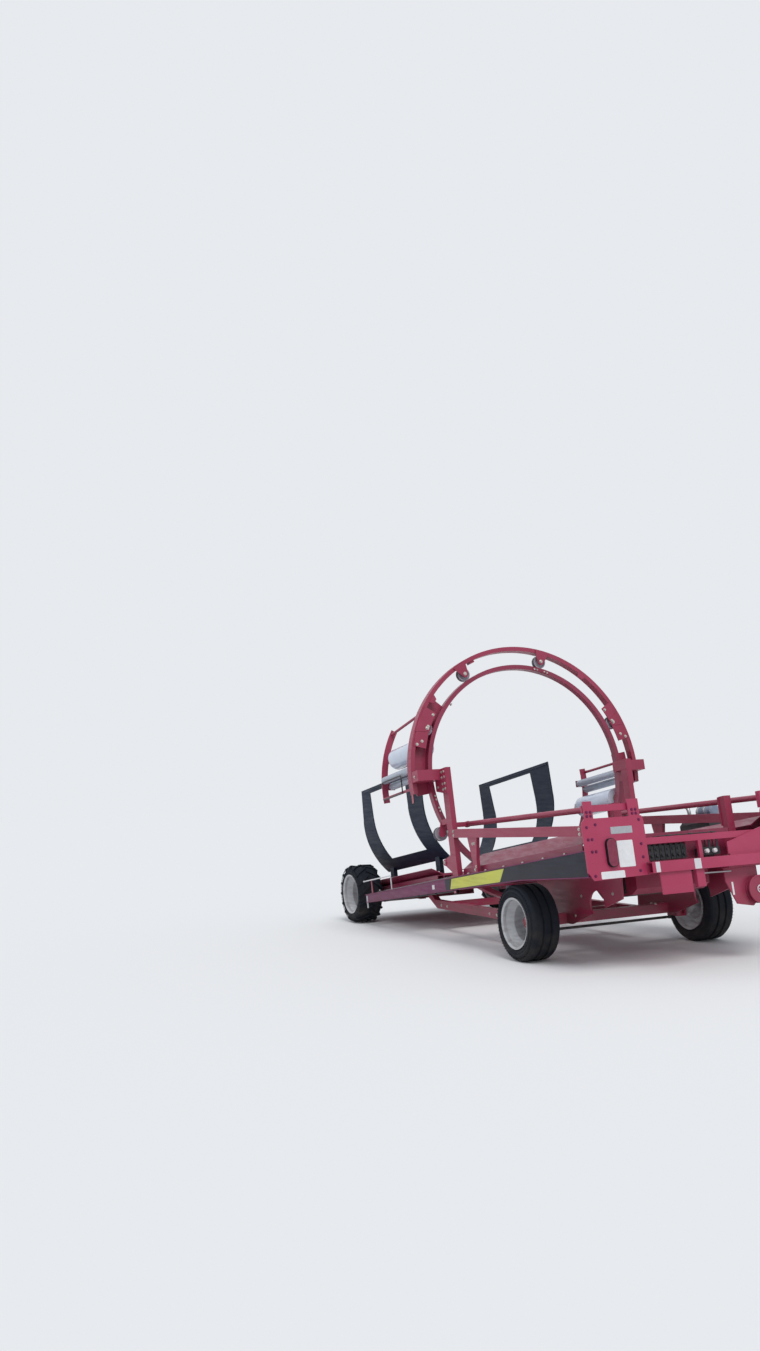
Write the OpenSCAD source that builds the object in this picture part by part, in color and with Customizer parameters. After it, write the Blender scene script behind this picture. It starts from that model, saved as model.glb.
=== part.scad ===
// In-line round bale wrapper: tilted deck on four wheels, wrapping hoop and push gate.
// +X is the loading end, +Z up, the ground is z = 0. Millimetres.

/* [Chassis] */
// Distance between the axles
wheelbase = 4396; // [4200:1:4600]
// Half the width over the side beams and wheels
half_w = 1211; // [1180:1:1260]
// Slope of the deck, front end up
deck_tilt = 8; // [6:0.5:9]
// Height of the side beams' top edge over the rear axle
deck_z0 = 329; // [320:1:345]
// Width of a side beam
beam_w = 80; // [60:1:90]
// Wall of the side beams
beam_wall = 8; // [6:1:12]
// Side beam's rear end, along the deck
beam_rear_u = 537; // [500:1:600]
// Reach of the side beams past the front axle, along the deck
front_overhang = 1434; // [1400:1:1480]

/* [Wheels] */
// Outer radius of a tyre
tyre_r = 376; // [366:1:380]
// Width of a tyre
tyre_w = 330; // [280:1:335]
// Radius of the rim at the bead
rim_r = 240; // [220:1:250]
// Radius of a wheel spindle
spindle_r = 32; // [25:1:40]
// Distance of a kingpin inside the side beam's outer face
kingpin_in = 451; // [440:1:465]
// Length of a steering arm
steer_arm = 150; // [120:1:170]

/* [Hoop] */
// Place of the hoop along the deck
hoop_u = 2920; // [2880:1:2960]
// Outer radius of the fixed ring
hoop_r = 1501; // [1495:1:1510]
// How far the hoop hangs below the side beams' top edge
hoop_drop = 368; // [360:1:375]
// Depth from the fixed ring's outside to the turning ring's inside
hoop_depth = 268; // [262:1:274]
// Radial thickness of each ring
ring_t = 50; // [40:1:55]
// Axial width of the fixed ring
ring_w = 100; // [80:1:110]

/* [Film dispensers] */
// Length of a film roll
film_len = 750; // [500:10:750]
// Radius of a film roll
film_r = 125; // [60:1:130]
// Depth of the film rolls' axis inside the fixed ring's outside
film_inset = 211; // [205:1:216]

/* [Deck] */
// Height of the deck floor's top over the side beams
floor_w = 117; // [110:1:125]
// Half the width of the floor's middle panel
floor_half = 500; // [440:1:520]
// Distance of the rear deck's front end behind the hoop
deck_gap = 1070; // [1055:1:1170]
// Rear end of the rear deck, along the deck
tail_u = -480; // [-500:1:-440]
// Radius of the bale that the guides hug
bale_r = 840; // [800:1:860]

/* [Hidden] */
$fn = 96;
deck_c = cos(deck_tilt);
deck_s = sin(deck_tilt);
beam_in = half_w - beam_w;
beam_front_u = wheelbase + front_overhang;
rear_deck_u = hoop_u - deck_gap;
kingpin_y = half_w - kingpin_in;
wheel_y = half_w - tyre_w / 2;
axle_z = tyre_r;
hoop_w = hoop_r - hoop_drop;    // height of the hoop's centre over the side beams
ring_r = hoop_r - hoop_depth;   // inner radius of the turning ring
film_orbit = hoop_r - film_inset;
// outfeed roller: place in front of the tail, height and radius
tail_in = 28;
tail_w = 70;
tail_r = 44;
plate_thick = 16;               // corner plates
front_beam_lo = -256;
front_beam_hi = -157;
front_beam_d = 80;
beam_out = beam_front_u + plate_thick;
tail_reach = -(tail_u + tail_in) * deck_c + tail_w * deck_s + tail_r;
front_reach = (beam_out + front_beam_d) * deck_c - front_beam_lo * deck_s;
mid_x = (front_reach - tail_reach) / 2;
seat = 0.3;                     // gap at curved seats
run = 0.1;                      // radial clearance of a turning fit
ring_out = ring_r + ring_t;     // outer radius of the turning ring
hoop_in = hoop_r - ring_t;      // inner radius of the fixed ring
roller_r = 78;                  // guide rollers, which run on the turning ring
roller_c = ring_out + roller_r + 2 * seat;

purple = "#8f2f52";
red = "#b03048";
black = "#1c1e22";
rim_grey = "#c8c8c6";

// Places: the whole machine, and the tilted deck with u along it and w over the beams.
module machine() { translate([-mid_x, 0, 0]) children(); }
module deck() { machine() translate([0, 0, deck_z0]) rotate([0, -deck_tilt, 0]) children(); }
module both_sides() { children(); mirror([0, 1, 0]) children(); }
// A block given by its low and high corners.
module block(lo, hi) { translate(lo) cube(hi - lo); }
// An outline in the length-height plane, extruded from y0 to y1.
module side_profile(points, y0, y1) {
    translate([0, y1, 0]) rotate([90, 0, 0]) linear_extrude(y1 - y0) polygon(points);
}
// A round bar between two points.
module bar(a, b, r) {
    d = b - a;
    translate(a) rotate([0, acos(d[2] / norm(d)), atan2(d[1], d[0])]) cylinder(r = r, h = norm(d));
}
// A cylinder along the deck or along the machine's length, centred on the origin.
module along_x(r, len) { translate([-len / 2, 0, 0]) rotate([0, 90, 0]) cylinder(r = r, h = len); }
module along_y(r, len) { translate([0, len / 2, 0]) rotate([90, 0, 0]) cylinder(r = r, h = len); }

// Side beams: depth below the top edge, [u, depth]
beam_depth = [[beam_rear_u, 104], [wheelbase + 204, 165], [beam_front_u, 245]];
flange_t = 10;
flange_out = 6;
function beam_outline(t) = concat(
    [[beam_rear_u - (t > 0 ? 1 : 0), -t], [beam_front_u + (t > 0 ? 1 : 0), -t]],
    [for (i = [len(beam_depth) - 1:-1:0])
        [beam_depth[i][0] + (t > 0 ? (i == 0 ? -1 : i == len(beam_depth) - 1 ? 1 : 0) : 0),
            -beam_depth[i][1] + t]]);

module side_beams() {
    color(purple) deck() both_sides() {
        difference() {
            side_profile(beam_outline(0), beam_in + flange_out, half_w - flange_out);
            side_profile(beam_outline(beam_wall), beam_in + flange_out + beam_wall,
                half_w - flange_out - beam_wall);
        }
        // top and bottom flanges stand proud of the webs
        side_profile([[beam_rear_u, 0], [beam_front_u, 0], [beam_front_u, -flange_t],
            [beam_rear_u, -flange_t]], beam_in, half_w);
        for (i = [0:len(beam_depth) - 2]) {
            a = beam_depth[i];
            b = beam_depth[i + 1];
            side_profile([[a[0], -a[1]], [b[0], -b[1]], [b[0], -b[1] + flange_t], [a[0], -a[1] + flange_t]],
                beam_in, half_w);
        }
    }
}

// Low chassis rails: one level rail and one raking strut a side, with cross tubes
rear_rail_out = half_w - tyre_w - 91;       // rear deck's rails, inside the tyres
rear_rail_y = [rear_rail_out - 90, rear_rail_out];
rail_w = 80;
rail_y = rear_rail_y[0] - rail_w;
rail_lo = 255;
rail_hi = 355;
rail_rear_x = hoop_u - 1420;
rail_front_x = wheelbase - 496;
rear_cross_u = rail_rear_x - 350;           // rear cross member that the struts meet
rear_cross_lo = -60;
strut_foot = 140;
saddle_half = 170;
saddle_depth = 70;
saddle_x = hoop_u * deck_c + (hoop_r - hoop_w) * deck_s;
// height over the ground of a point w over the beams, at x
function deck_height(x, w) = deck_z0 + (x * deck_s + w) / deck_c;

module chassis_rails() {
    color(purple) machine() {
        both_sides() side_profile([[rail_rear_x, rail_lo], [rail_front_x, rail_lo],
            [rail_front_x, rail_hi], [rail_rear_x - 60, rail_hi],
            [rear_cross_u + strut_foot, deck_height(rear_cross_u + strut_foot, rear_cross_lo)],
            [rear_cross_u, deck_height(rear_cross_u, rear_cross_lo)]],
            rail_y - rail_w / 2, rail_y + rail_w / 2);
        for (x = [rail_rear_x + 200, saddle_x, rail_front_x - 400])
            block([x - 40, -rail_y, rail_lo + 10], [x + 40, rail_y, rail_hi - 10]);
    }
    // saddle under the fixed ring
    color(purple) deck() difference() {
        block([hoop_u - ring_w / 2, -saddle_half, -hoop_drop - saddle_depth],
            [hoop_u + ring_w / 2, saddle_half, -hoop_drop + 20]);
        round_hoop(0) along_x(hoop_r + 2 * seat, 2 * ring_w);
    }
}

// Front subframe: shaped side plates from the axle up to cross members under the beams
plate_t = 20;
cross_lo = -160;
cross_hi = -80;
cross_w = 100;
front_cross_u = [wheelbase - 346, wheelbase + 954];
subframe_low = rail_lo + 75;
subframe_x = [wheelbase + 150, wheelbase + 1054];   // end of the low edge, front end
subframe_nose = 640;                                // height of the front end's lower corner
lightening = [wheelbase + 624, 560, 130];           // [x, z, radius] of the round window
module front_subframe() {
    x0 = rail_front_x;
    color(purple) {
        machine() both_sides() difference() {
            side_profile([[x0, subframe_low], [subframe_x[0], subframe_low], [subframe_x[1], subframe_nose],
                [subframe_x[1], deck_height(subframe_x[1], cross_lo)], [x0, deck_height(x0, cross_lo)]],
                rail_y - plate_t / 2, rail_y + plate_t / 2);
            translate([lightening[0], rail_y, lightening[1]]) along_y(lightening[2], 3 * plate_t);
            axle_bar();
        }
        deck() for (u = front_cross_u)
            block([u - cross_w / 2, -beam_in, cross_lo], [u + cross_w / 2, beam_in, cross_hi]);
    }
}

// Front axle: box beam between the subframe plates with a kingpin boss at each end
boss_h = 150;
boss_r = 46;
kingpin_r = 25;
axle_box = 100;
module axle_bar() {
    block([wheelbase - axle_box / 2, -kingpin_y, axle_z - axle_box / 2],
        [wheelbase + axle_box / 2, kingpin_y, axle_z + axle_box / 2]);
}
module front_axle() {
    color(purple) machine() difference() {
        union() {
            axle_bar();
            for (s = [-1, 1]) translate([wheelbase, s * kingpin_y, axle_z - boss_h / 2])
                cylinder(r = boss_r, h = boss_h);
        }
        for (s = [-1, 1]) {
            translate([wheelbase, s * kingpin_y, axle_z - boss_h])
                cylinder(r = kingpin_r + run, h = 2 * boss_h);
            // the beam stops inside the boss
            translate([wheelbase, s * kingpin_y, axle_z]) difference() {
                cube([4 * boss_r, 2 * boss_r + 1, boss_h - 1], center = true);
                cylinder(r = boss_r, h = boss_h + 2, center = true);
                translate([0, -s * boss_r, 0]) cube([axle_box, 2 * boss_r, boss_h], center = true);
            }
        }
    }
}

// Rear axle: a tube between the deck rails and a stub spindle a side
flange_r = 70;
flange_y = 16;
axle_r = 45;
push_y = half_w - 146;          // axis of the push cylinders
push_w = -10;
barrel_r = 36;
rim_disc_y = half_w - 190;      // outer face of the rim's disc
hub_in = 150;                   // hub barrel inboard of the disc
hub_out = 45;                   // hub barrel outboard of the disc
spindle_end = rim_disc_y + hub_out + 20;
rear_rail_lo = -10;
rail_floor = floor_w - 17;      // top of the rear rails
module rear_axle() {
    color(purple) machine() translate([0, 0, axle_z]) {
        along_y(axle_r, 2 * rear_rail_y[0]);
        both_sides() {
            translate([0, rear_rail_y[1] + flange_y / 2, 0]) along_y(flange_r, flange_y);
            translate([0, (rear_rail_y[1] + spindle_end) / 2, 0])
                along_y(spindle_r, spindle_end - rear_rail_y[1]);
        }
    }
}

// Front deck: middle floor on end supports, wings carried on the side beams
deck_front_u = beam_front_u - 130;
deck_rear_u = hoop_u + 20;
post_u = hoop_u + 270;          // the hoop posts
sheet = 8;                      // thickness of the floor sheets
rib_t = 6;
floor_ribs = 6;
floor_depth = 50;
deck_support_u = [deck_rear_u + 100, deck_front_u - 40];
support_w = 60;
deck_cross_lo = -140;
deck_cross_hi = -62;
wing_y = beam_in - 351;
wing_t = 8;
wing_foot = 28;
ridge_y = beam_in - 196;
ridge_w = floor_w + 88;
wing_u = [post_u + 70, beam_front_u - 140];

module floor_panel(u0, u1, half, depth, ribs) {
    block([u0, -half, floor_w - sheet], [u1, half, floor_w]);
    for (i = [0:ribs - 1]) {
        y = -half + (2 * half - rib_t) * i / (ribs - 1);
        block([u0, y, floor_w - depth], [u1, y + rib_t, floor_w - sheet]);
    }
    for (u = [u0, u1 - rib_t]) block([u, -half, floor_w - depth], [u + rib_t, half, floor_w - sheet]);
}
module front_deck() {
    color(purple) deck() {
        // middle floor: a sheet on folded ribs, over the push gate's beam
        floor_panel(deck_rear_u, deck_front_u, floor_half, floor_depth, floor_ribs);
        for (u = deck_support_u) {
            block([u - support_w / 2, -beam_in, deck_cross_lo], [u + support_w / 2, beam_in, deck_cross_hi]);
            block([u - support_w / 2, -floor_half + floor_depth, deck_cross_hi],
                [u + support_w / 2, floor_half - floor_depth, floor_w - floor_depth + 10]);
        }
        // wing: foot on the beam's top, outer slope up to a ridge, inner slope down to the floor
        both_sides() difference() {
            rotate([90, 0, 90]) translate([0, 0, wing_u[0]]) linear_extrude(wing_u[1] - wing_u[0])
                polygon([[beam_in, 0], [beam_in + wing_foot, 0], [beam_in + wing_foot, wing_t],
                    [beam_in + wing_t, wing_t], [beam_in + wing_t, 66], [ridge_y + wing_t, ridge_w],
                    [ridge_y - wing_t, ridge_w], [wing_y, floor_w + 9], [wing_y + 3, floor_w + 1],
                    [ridge_y - 6, ridge_w - 10], [ridge_y + 4, ridge_w - 10], [beam_in, 60]]);
            // chamfered rear end of the ridge
            translate([wing_u[0], 0, floor_w + 12]) rotate([0, -35, 0]) translate([-400, 0, 0])
                cube([800, half_w, 300]);
        }
    }
}

// Rear deck: floor between two box rails, cross members, outriggers and side strips
rear_floor_u = tail_u + 84;     // the floor stops short of the outfeed roller
rail_wall = 8;
outrigger_u = [beam_rear_u + 60, rear_cross_u + 500];
outrigger_lo = -90;
outrigger_w = 80;
rear_cross_w = 120;
strip_out = 74;                 // how far the side strips lean out over the rails
module rear_deck() {
    color(purple) deck() {
        floor_panel(rear_floor_u, rear_deck_u, rear_rail_y[0] + 10, floor_w - rail_floor + sheet, floor_ribs);
        both_sides() {
            // box rails under the floor's edges, open at both ends
            difference() {
                block([tail_u, rear_rail_y[0], rear_rail_lo], [rear_deck_u, rear_rail_y[1], rail_floor]);
                block([tail_u - 1, rear_rail_y[0] + rail_wall, rear_rail_lo + rail_wall],
                    [rear_deck_u + 1, rear_rail_y[1] - rail_wall, rail_floor - rail_wall]);
            }
            // side strip that catches the bale, sloping inwards
            side_strip();
            // outriggers to the side beams, below the push cylinders
            for (u = outrigger_u) {
                block([u - outrigger_w / 2, rear_rail_y[0], outrigger_lo],
                    [u + outrigger_w / 2, beam_in, push_w - barrel_r - seat]);
                block([u - outrigger_w / 2, rear_rail_y[0] + 20, rear_cross_lo],
                    [u + outrigger_w / 2, rear_rail_y[1], rear_rail_lo + 4]);
            }
        }
        for (u = [rear_cross_u, rear_cross_u + 560])
            block([u - rear_cross_w / 2, -rear_rail_y[1], rear_cross_lo],
                [u + rear_cross_w / 2, rear_rail_y[1], rear_rail_lo]);
    }
}
module side_strip() {
    rotate([90, 0, 90]) translate([0, 0, rear_floor_u]) linear_extrude(rear_deck_u - rear_floor_u)
        polygon([[rear_rail_y[0] + 10, rail_floor], [rear_rail_y[1] + strip_out, rail_floor + 80],
            [rear_rail_y[1] + strip_out - 6, rail_floor + 86], [rear_rail_y[0] + 10, rail_floor + 14]]);
}

module tail_roller() {
    color("silver") deck() translate([tail_u + tail_in, 0, tail_w])
        along_y(tail_r, 2 * (rear_rail_y[0] - seat));
}

// Hitch for a removable drawbar: cross member under the deck rails with a clevis
pin_r = 16;
hitch_x = tail_u + 25;
hitch_z = 188;                  // underside of the lower ear
ear_t = 16;
ear_gap = 60;
ear_r = 45;
hitch_cross_u = [tail_u + 60, tail_u + 140];
module hitch() {
    color(purple) {
        deck() block([hitch_cross_u[0], -rear_rail_y[1], rear_rail_lo - 70],
            [hitch_cross_u[1], rear_rail_y[1], rear_rail_lo]);
        machine() difference() {
            union() {
                for (z = [0, ear_t + ear_gap]) translate([0, 0, hitch_z + z]) {
                    block([hitch_x, -ear_r, 0], [hitch_cross_u[1], ear_r, ear_t]);
                    translate([hitch_x, 0, 0]) cylinder(r = ear_r, h = ear_t);
                }
                block([hitch_x + 70, -ear_r, hitch_z], [hitch_x + 105, ear_r, hitch_z + 2 * ear_t + ear_gap]);
            }
            translate([hitch_x, 0, hitch_z - 10]) cylinder(r = pin_r, h = 200);
        }
    }
}

// Bale guides: sheets that hug the bale's lower half and rise beside it, each with a large window
guide_u = [0, rear_deck_u + 80];
guide_t = 14;
guide_c = floor_w + bale_r;     // height of the bale's axis
guide_r = bale_r + 60;
guide_lo = -47;                 // the curved part starts at this angle from the horizontal
guide_rise = 417;               // height of the straight part over the bale's axis
guide_lean = 1.5;               // its lean outwards
guide_step = 2;                 // how much thinner it is on each face
window_end = [290, 430];        // sheet left at the rear of the window, top and bottom
window_fore = [480, 380];       // and at the front
window_w = [372, -520];         // window's top and bottom from the bale's axis
foot_y = guide_r * cos(guide_lo) + 5;
foot_top = guide_c + guide_r * sin(guide_lo) + 51;
foot_half = 60;
foot_depth = 48;
module guide_far_shape() {
    deck() {
        difference() {
            union() {
                translate([guide_u[0], 0, guide_c]) rotate([90, 0, 90]) rotate([0, 0, guide_lo])
                    rotate_extrude(angle = guide_lean - guide_lo) translate([guide_r, 0])
                        square([guide_t, guide_u[1] - guide_u[0]]);
                // the straight part is a thinner sheet, let in a little way
                translate([guide_u[0], 0, guide_c]) rotate([guide_lean, 0, 0])
                    translate([0, guide_r + guide_step, -30])
                        cube([guide_u[1] - guide_u[0], guide_t - 2 * guide_step, guide_rise + 30]);
            }
            side_profile([[guide_u[0] + window_end[0], guide_c + window_w[0]],
                [guide_u[1] - window_fore[0], guide_c + window_w[0]],
                [guide_u[1] - window_fore[1], guide_c + window_w[1]],
                [guide_u[0] + window_end[1], guide_c + window_w[1]]], 0, half_w);
        }
        // feet on the deck's floor and side strips
        for (u = [guide_u[0] + 220, rear_deck_u - 210]) {
            block([u - foot_half, foot_y, rail_floor + 60], [u + foot_half, foot_y + foot_depth, foot_top]);
            block([u - foot_half, foot_y, floor_w], [u + foot_half, foot_y + sheet, foot_top]);
        }
    }
}

module guide_near() { color(black) mirror([0, 1, 0]) guide_far_shape(); }
module guide_far() { color(black) guide_far_shape(); }

// Rings. A flat ring across the deck direction.
module ring(r_in, r_out, w) {
    translate([hoop_u - w / 2, 0, hoop_w]) rotate([0, 90, 0]) rotate_extrude($fn = 180)
        translate([r_in, 0]) square([r_out - r_in, w]);
}
// Places something at an angle round the hoop, 0 at the top, positive to the far side.
module round_hoop(a) { translate([hoop_u, 0, hoop_w]) rotate([-a, 0, 0]) children(); }

inner_w = 80;
ring_wall = 10;
roller_plate = 12;
roller_pin_r = 15;
roller_half = 26;               // half the width of a guide roller's tread
roller_flange = 12;             // depth of its tread
roller_hub_r = 28;
arch_half = 97;                 // the fixed ring is an arch over the deck and a cradle under it
cradle_half = 42;
roller_angles = [-66, -30, 15, 66, 180 - 16, 180 + 16];   // guide rollers on the fixed ring
post_roller = 118;              // and the one on each hoop post
side_plate = [57, 76, 1325];    // wide plate behind two rollers: its angles, inner radius
rib_angles = [-52, 38];         // short ribs between the rollers
stop_angle = -23;

// Channel along part of the hoop, open to the rear, with closed ends.
module channel(a0, a1) {
    t = ring_wall;
    translate([hoop_u - ring_w / 2, 0, hoop_w]) rotate([0, 90, 0]) rotate([0, 0, 180 + a0])
        rotate_extrude(angle = a1 - a0, $fn = 180)
            polygon([[hoop_in, 0], [hoop_in + t, 0], [hoop_in + t, ring_w - t], [hoop_r - t, ring_w - t],
                [hoop_r - t, 0], [hoop_r, 0], [hoop_r, ring_w], [hoop_in, ring_w]]);
    for (e = [[-a0, -2 - t], [-a1, 2]]) round_hoop(e[0])
        block([2 - ring_w / 2, e[1], hoop_in + 2], [ring_w / 2 - 2, e[1] + t, hoop_r - 2]);
}

// Plate from the ring to a roller's pin: wide on the ring, round at the pin.
module bracket_plate(half) {
    translate([ring_w / 2 - 1, 0, 0]) rotate([90, 0, 90]) linear_extrude(roller_plate)
        polygon([[-half / 2, roller_c], [half / 2, roller_c], [half, hoop_r - 14], [-half, hoop_r - 14]]);
}

module roller_pin() {
    // the eye stands back a little from the plate's face
    translate([ring_w / 2 - 2, 0, roller_c]) rotate([90, 0, 90])
        linear_extrude(roller_plate) circle(r = 42);
    translate([ring_wall, 0, roller_c]) along_x(roller_pin_r, ring_w - 2 * ring_wall);
}

module fixed_ring() {
    color(purple) deck() {
        channel(-arch_half, arch_half);
        channel(180 - cradle_half, 180 + cradle_half);
        for (a = roller_angles) round_hoop(a) {
            bracket_plate(90);
            roller_pin();
        }
        both_sides() translate([hoop_u + ring_w / 2 - 3, 0, hoop_w])
            arc_plate(side_plate[0], side_plate[1], side_plate[2], hoop_r - 22, roller_plate - 2);
        for (a = rib_angles) round_hoop(a) translate([ring_w / 2 - 1, 0, 0]) rotate([90, 0, 90])
            linear_extrude(roller_plate)
                polygon([[-28, hoop_in - 50], [28, hoop_in - 50], [58, hoop_in + 8], [-58, hoop_in + 8]]);
        round_hoop(stop_angle) block([10 - ring_w / 2, -30, hoop_in - 26],
            [ring_w / 2 - 10, 30, hoop_in + 4]);
    }
}

module guide_rollers() {
    in = roller_r - roller_flange;
    dish = roller_half - ring_wall;
    hub = roller_half + 4;
    color(rim_grey) deck() for (a = concat(roller_angles, [-post_roller, post_roller])) round_hoop(a)
        translate([0, 0, roller_c]) rotate([0, 90, 0]) rotate_extrude()
            polygon([[roller_pin_r + run, -hub], [roller_hub_r, -hub], [roller_hub_r, -dish], [in, -dish],
                [in, -roller_half], [roller_r, -roller_half], [roller_r, roller_half], [in, roller_half],
                [in, dish], [roller_hub_r, dish], [roller_hub_r, hub], [roller_pin_r + run, hub]]);
}

// Hoop posts: a column on each side beam, its bracket to the fixed ring and a foot plate
post_top = hoop_w + 60;
post_y = half_w - 60;
post_half = 64;
post_wall = 8;
foot_t = 14;
low_arm_w = 580;                // underside of the arm to the lower guide roller
low_arm_h = 60;
head_t = 12;
toe = [hoop_u + 45, 171, 36];   // round toe of the foot's bracket: [u, w, radius]
module hoop_post_shape() {
    arm_u = hoop_u + ring_w / 2;
    pin_y = roller_c * sin(post_roller);
    pin_w = hoop_w + roller_c * cos(post_roller);
    deck() {
        // column, box section
        difference() {
            block([post_u - post_half, post_y, foot_t - 2], [post_u + post_half, half_w, post_top]);
            block([post_u - post_half + post_wall, post_y + post_wall, -1],
                [post_u + post_half - post_wall, half_w - post_wall, post_top - post_wall]);
        }
        // foot plate on the side beam
        block([post_u - post_half - 40, beam_in + 30, 0], [post_u + post_half + 5, half_w, foot_t]);
        // arm to the arch's front face, with a plate over its joint to the column
        block([arm_u, post_y, hoop_w - 60], [post_u - post_half + 2, hoop_r - 4, post_top]);
        side_profile([[arm_u + 12, post_top - 4], [post_u + post_half, post_top - 4],
            [post_u + post_half, hoop_w - 232], [arm_u + 12, hoop_w - 172]], half_w - 2, half_w + head_t);
        // lower arm, with the plate and the pin of a guide roller
        block([arm_u, post_y, low_arm_w], [post_u - post_half + 2, half_w - 4, low_arm_w + low_arm_h]);
        round_hoop(post_roller) roller_pin();
        translate([arm_u - 1, 0, 0]) rotate([90, 0, 90]) linear_extrude(roller_plate)
            polygon([[pin_y - 41, pin_w], [pin_y + 41, pin_w], [half_w - 6, low_arm_w + low_arm_h - 2],
                [post_y + 2, low_arm_w + low_arm_h - 2]]);
        // bracket behind the foot, with a round toe
        side_profile([[post_u - post_half + 2, toe[1] + 69], [toe[0], toe[1] + toe[2] - 2],
            [toe[0], toe[1] - toe[2] + 2], [post_u - post_half + 2, foot_t + 30]], half_w - 24, half_w - 6);
        translate([toe[0], half_w - 14, toe[1]]) along_y(toe[2], 28);
    }
}

module hoop_post_near() { color(purple) mirror([0, 1, 0]) hoop_post_shape(); }
module hoop_post_far() { color(purple) hoop_post_shape(); }

// Guard rails: a box rail falling towards the front, on a gusset post a side
rail_a = 412;                   // underside of the guard rail at the hoop post
rail_b = 125;                   // and at the corner plate
rail_h = 93;
guard_w = 60;
guard_wall = 8;
gusset_u = post_u + 440;
// gusset post's outline: [u from its foot, w]
gusset = [[0, 0], [70, 0], [78, 130], [132, 350], [132, 360], [-74, 380], [-74, 366], [-18, 130]];
module guard_rails() {
    a = post_u + post_half;
    b = beam_front_u;
    t = guard_wall;
    color(purple) deck() both_sides() {
        difference() {
            side_profile([[a, rail_a], [b, rail_b], [b, rail_b + rail_h], [a, rail_a + rail_h]],
                half_w - guard_w, half_w);
            side_profile([[a + t, rail_a + t], [b - t, rail_b + t], [b - t, rail_b + rail_h - t],
                [a + t, rail_a + rail_h - t]], half_w - guard_w + t, half_w - t);
        }
        side_profile([for (p = gusset) [gusset_u + p[0], p[1]]], half_w - 50, half_w - 12);
    }
}

// Guard tubes inboard of the rails, from the hoop posts to the corner uprights
tube_r = 29;
tube_rear = [post_u + 46, half_w - 211, 554];
tube_front = [beam_front_u, half_w - 321, 372];
lug_w = 50;
module guard_tubes() {
    color(purple) deck() both_sides() {
        difference() {
            bar(tube_rear, tube_front, tube_r);
            block([beam_front_u - 40, tube_front[1] - 190, 300],
                [beam_front_u + 40, tube_front[1] + 190, 450]);
        }
        // lug on the hoop post
        block([tube_rear[0] - 36, tube_rear[1] - 15, tube_rear[2] - lug_w / 2],
            [tube_rear[0], post_y, tube_rear[2] + lug_w / 2]);
        translate([tube_rear[0] - 26, tube_rear[1], tube_rear[2]]) along_x(tube_r + 5, 44);
    }
}

// Corner plates with their two uprights, on the side beams' front ends
plate_u = beam_front_u;
plate_near = half_w - 661;      // inner edges of the corner plates
plate_far = half_w - 411;
outer_upright = [half_w - 131, half_w - 41];
plate_top = 277;
plate_low = -276;
upright_top = 434;
upright_d = 40;
tie_w = [340, 400];             // the tie between a plate's two uprights
module corner_outline(y) {
    polygon([[y[0], plate_low + 14], [y[1] - 60, plate_low], [y[1], plate_low + 76], [y[1], plate_top - 37],
        [y[1] - 35, plate_top], [y[0] + 14, plate_top], [y[0], plate_top - 37]]);
}
module corner_side(y, uprights) {
    rotate([90, 0, 90]) translate([0, 0, plate_u]) linear_extrude(plate_thick) corner_outline(y);
    // angle uprights: front leaf and a side leaf behind it
    for (p = uprights) {
        block([plate_u, p[0], plate_top], [plate_u + plate_thick, p[1], upright_top]);
        block([plate_u - upright_d, p[0], plate_top], [plate_u, p[0] + 14, upright_top]);
    }
    block([plate_u - upright_d, uprights[0][0], tie_w[0]], [plate_u - 12, uprights[1][1], tie_w[1]]);
}
module corner_plates() {
    color(red) deck() {
        mirror([0, 1, 0])
            corner_side([plate_near, half_w], [[plate_near + 30, plate_near + 150], outer_upright]);
        corner_side([plate_far, half_w], [[plate_far + 20, plate_far + 100], outer_upright]);
    }
}

// Front beams: lower beam, upper beam, the post between them and the far gusset box
lap = 30;                       // how far the beams reach behind the corner plates
beam_t = 8;
upper_lo = 10;
upper_hi = 70;
mid_post = [20, 60];
gusset_y = 345;
stub_y = 90;
stub_h = 160;
module front_beams() {
    lo = front_beam_lo;
    hi = front_beam_hi;
    color(red) deck() {
        // lower beam, box section
        difference() {
            block([beam_out, -plate_near - lap, lo], [beam_out + front_beam_d, plate_far + lap, hi]);
            block([beam_out + beam_t, -plate_near - lap - 1, lo + beam_t],
                [beam_out + front_beam_d - beam_t, plate_far + lap + 1, hi - beam_t]);
        }
        // upper beam between the corner plates, and the post down to the lower beam
        block([plate_u - upright_d, -plate_near - lap, upper_lo], [plate_u, plate_far + lap, upper_hi]);
        block([plate_u - 20, mid_post[0], lo + 20], [plate_u + 10, mid_post[1], upper_lo]);
        block([plate_u - 20, mid_post[0], lo + 20], [beam_out, mid_post[1], hi - 20]);
        // tapered gusset at the far side
        rotate([90, 0, 90]) translate([0, 0, plate_u]) linear_extrude(plate_thick)
            polygon([[gusset_y, -140], [plate_far, -140], [plate_far, 100], [gusset_y, -30]]);
        block([plate_u, gusset_y, hi - 4], [beam_out + 20, plate_far, -140]);
        // stub under the lower beam
        block([beam_out + 5, -stub_y, lo - stub_h], [beam_out + 50, 0, lo]);
    }
}

// Plate that hangs from the lower beam
hang_y = [-490, -148];
hang_lo = -455;

module hang_plate() {
    color(red) deck() block([beam_out + 40, hang_y[0], hang_lo], [beam_out + 52, hang_y[1], front_beam_lo]);
}

// Tail lamps: ovals on the corner plates
lamp_y = half_w - 266;
lamp_w = -40;
lamp_r = 50;
lamp_half = 75;
lamp_t = 30;
module tail_lamps() {
    color("darkred") deck() both_sides() translate([beam_out, lamp_y, lamp_w]) {
        block([0, -lamp_r, -lamp_half], [lamp_t, lamp_r, lamp_half]);
        for (s = [-1, 1]) translate([0, 0, s * lamp_half]) rotate([0, 90, 0])
            cylinder(r = lamp_r, h = lamp_t);
    }
}

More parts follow.
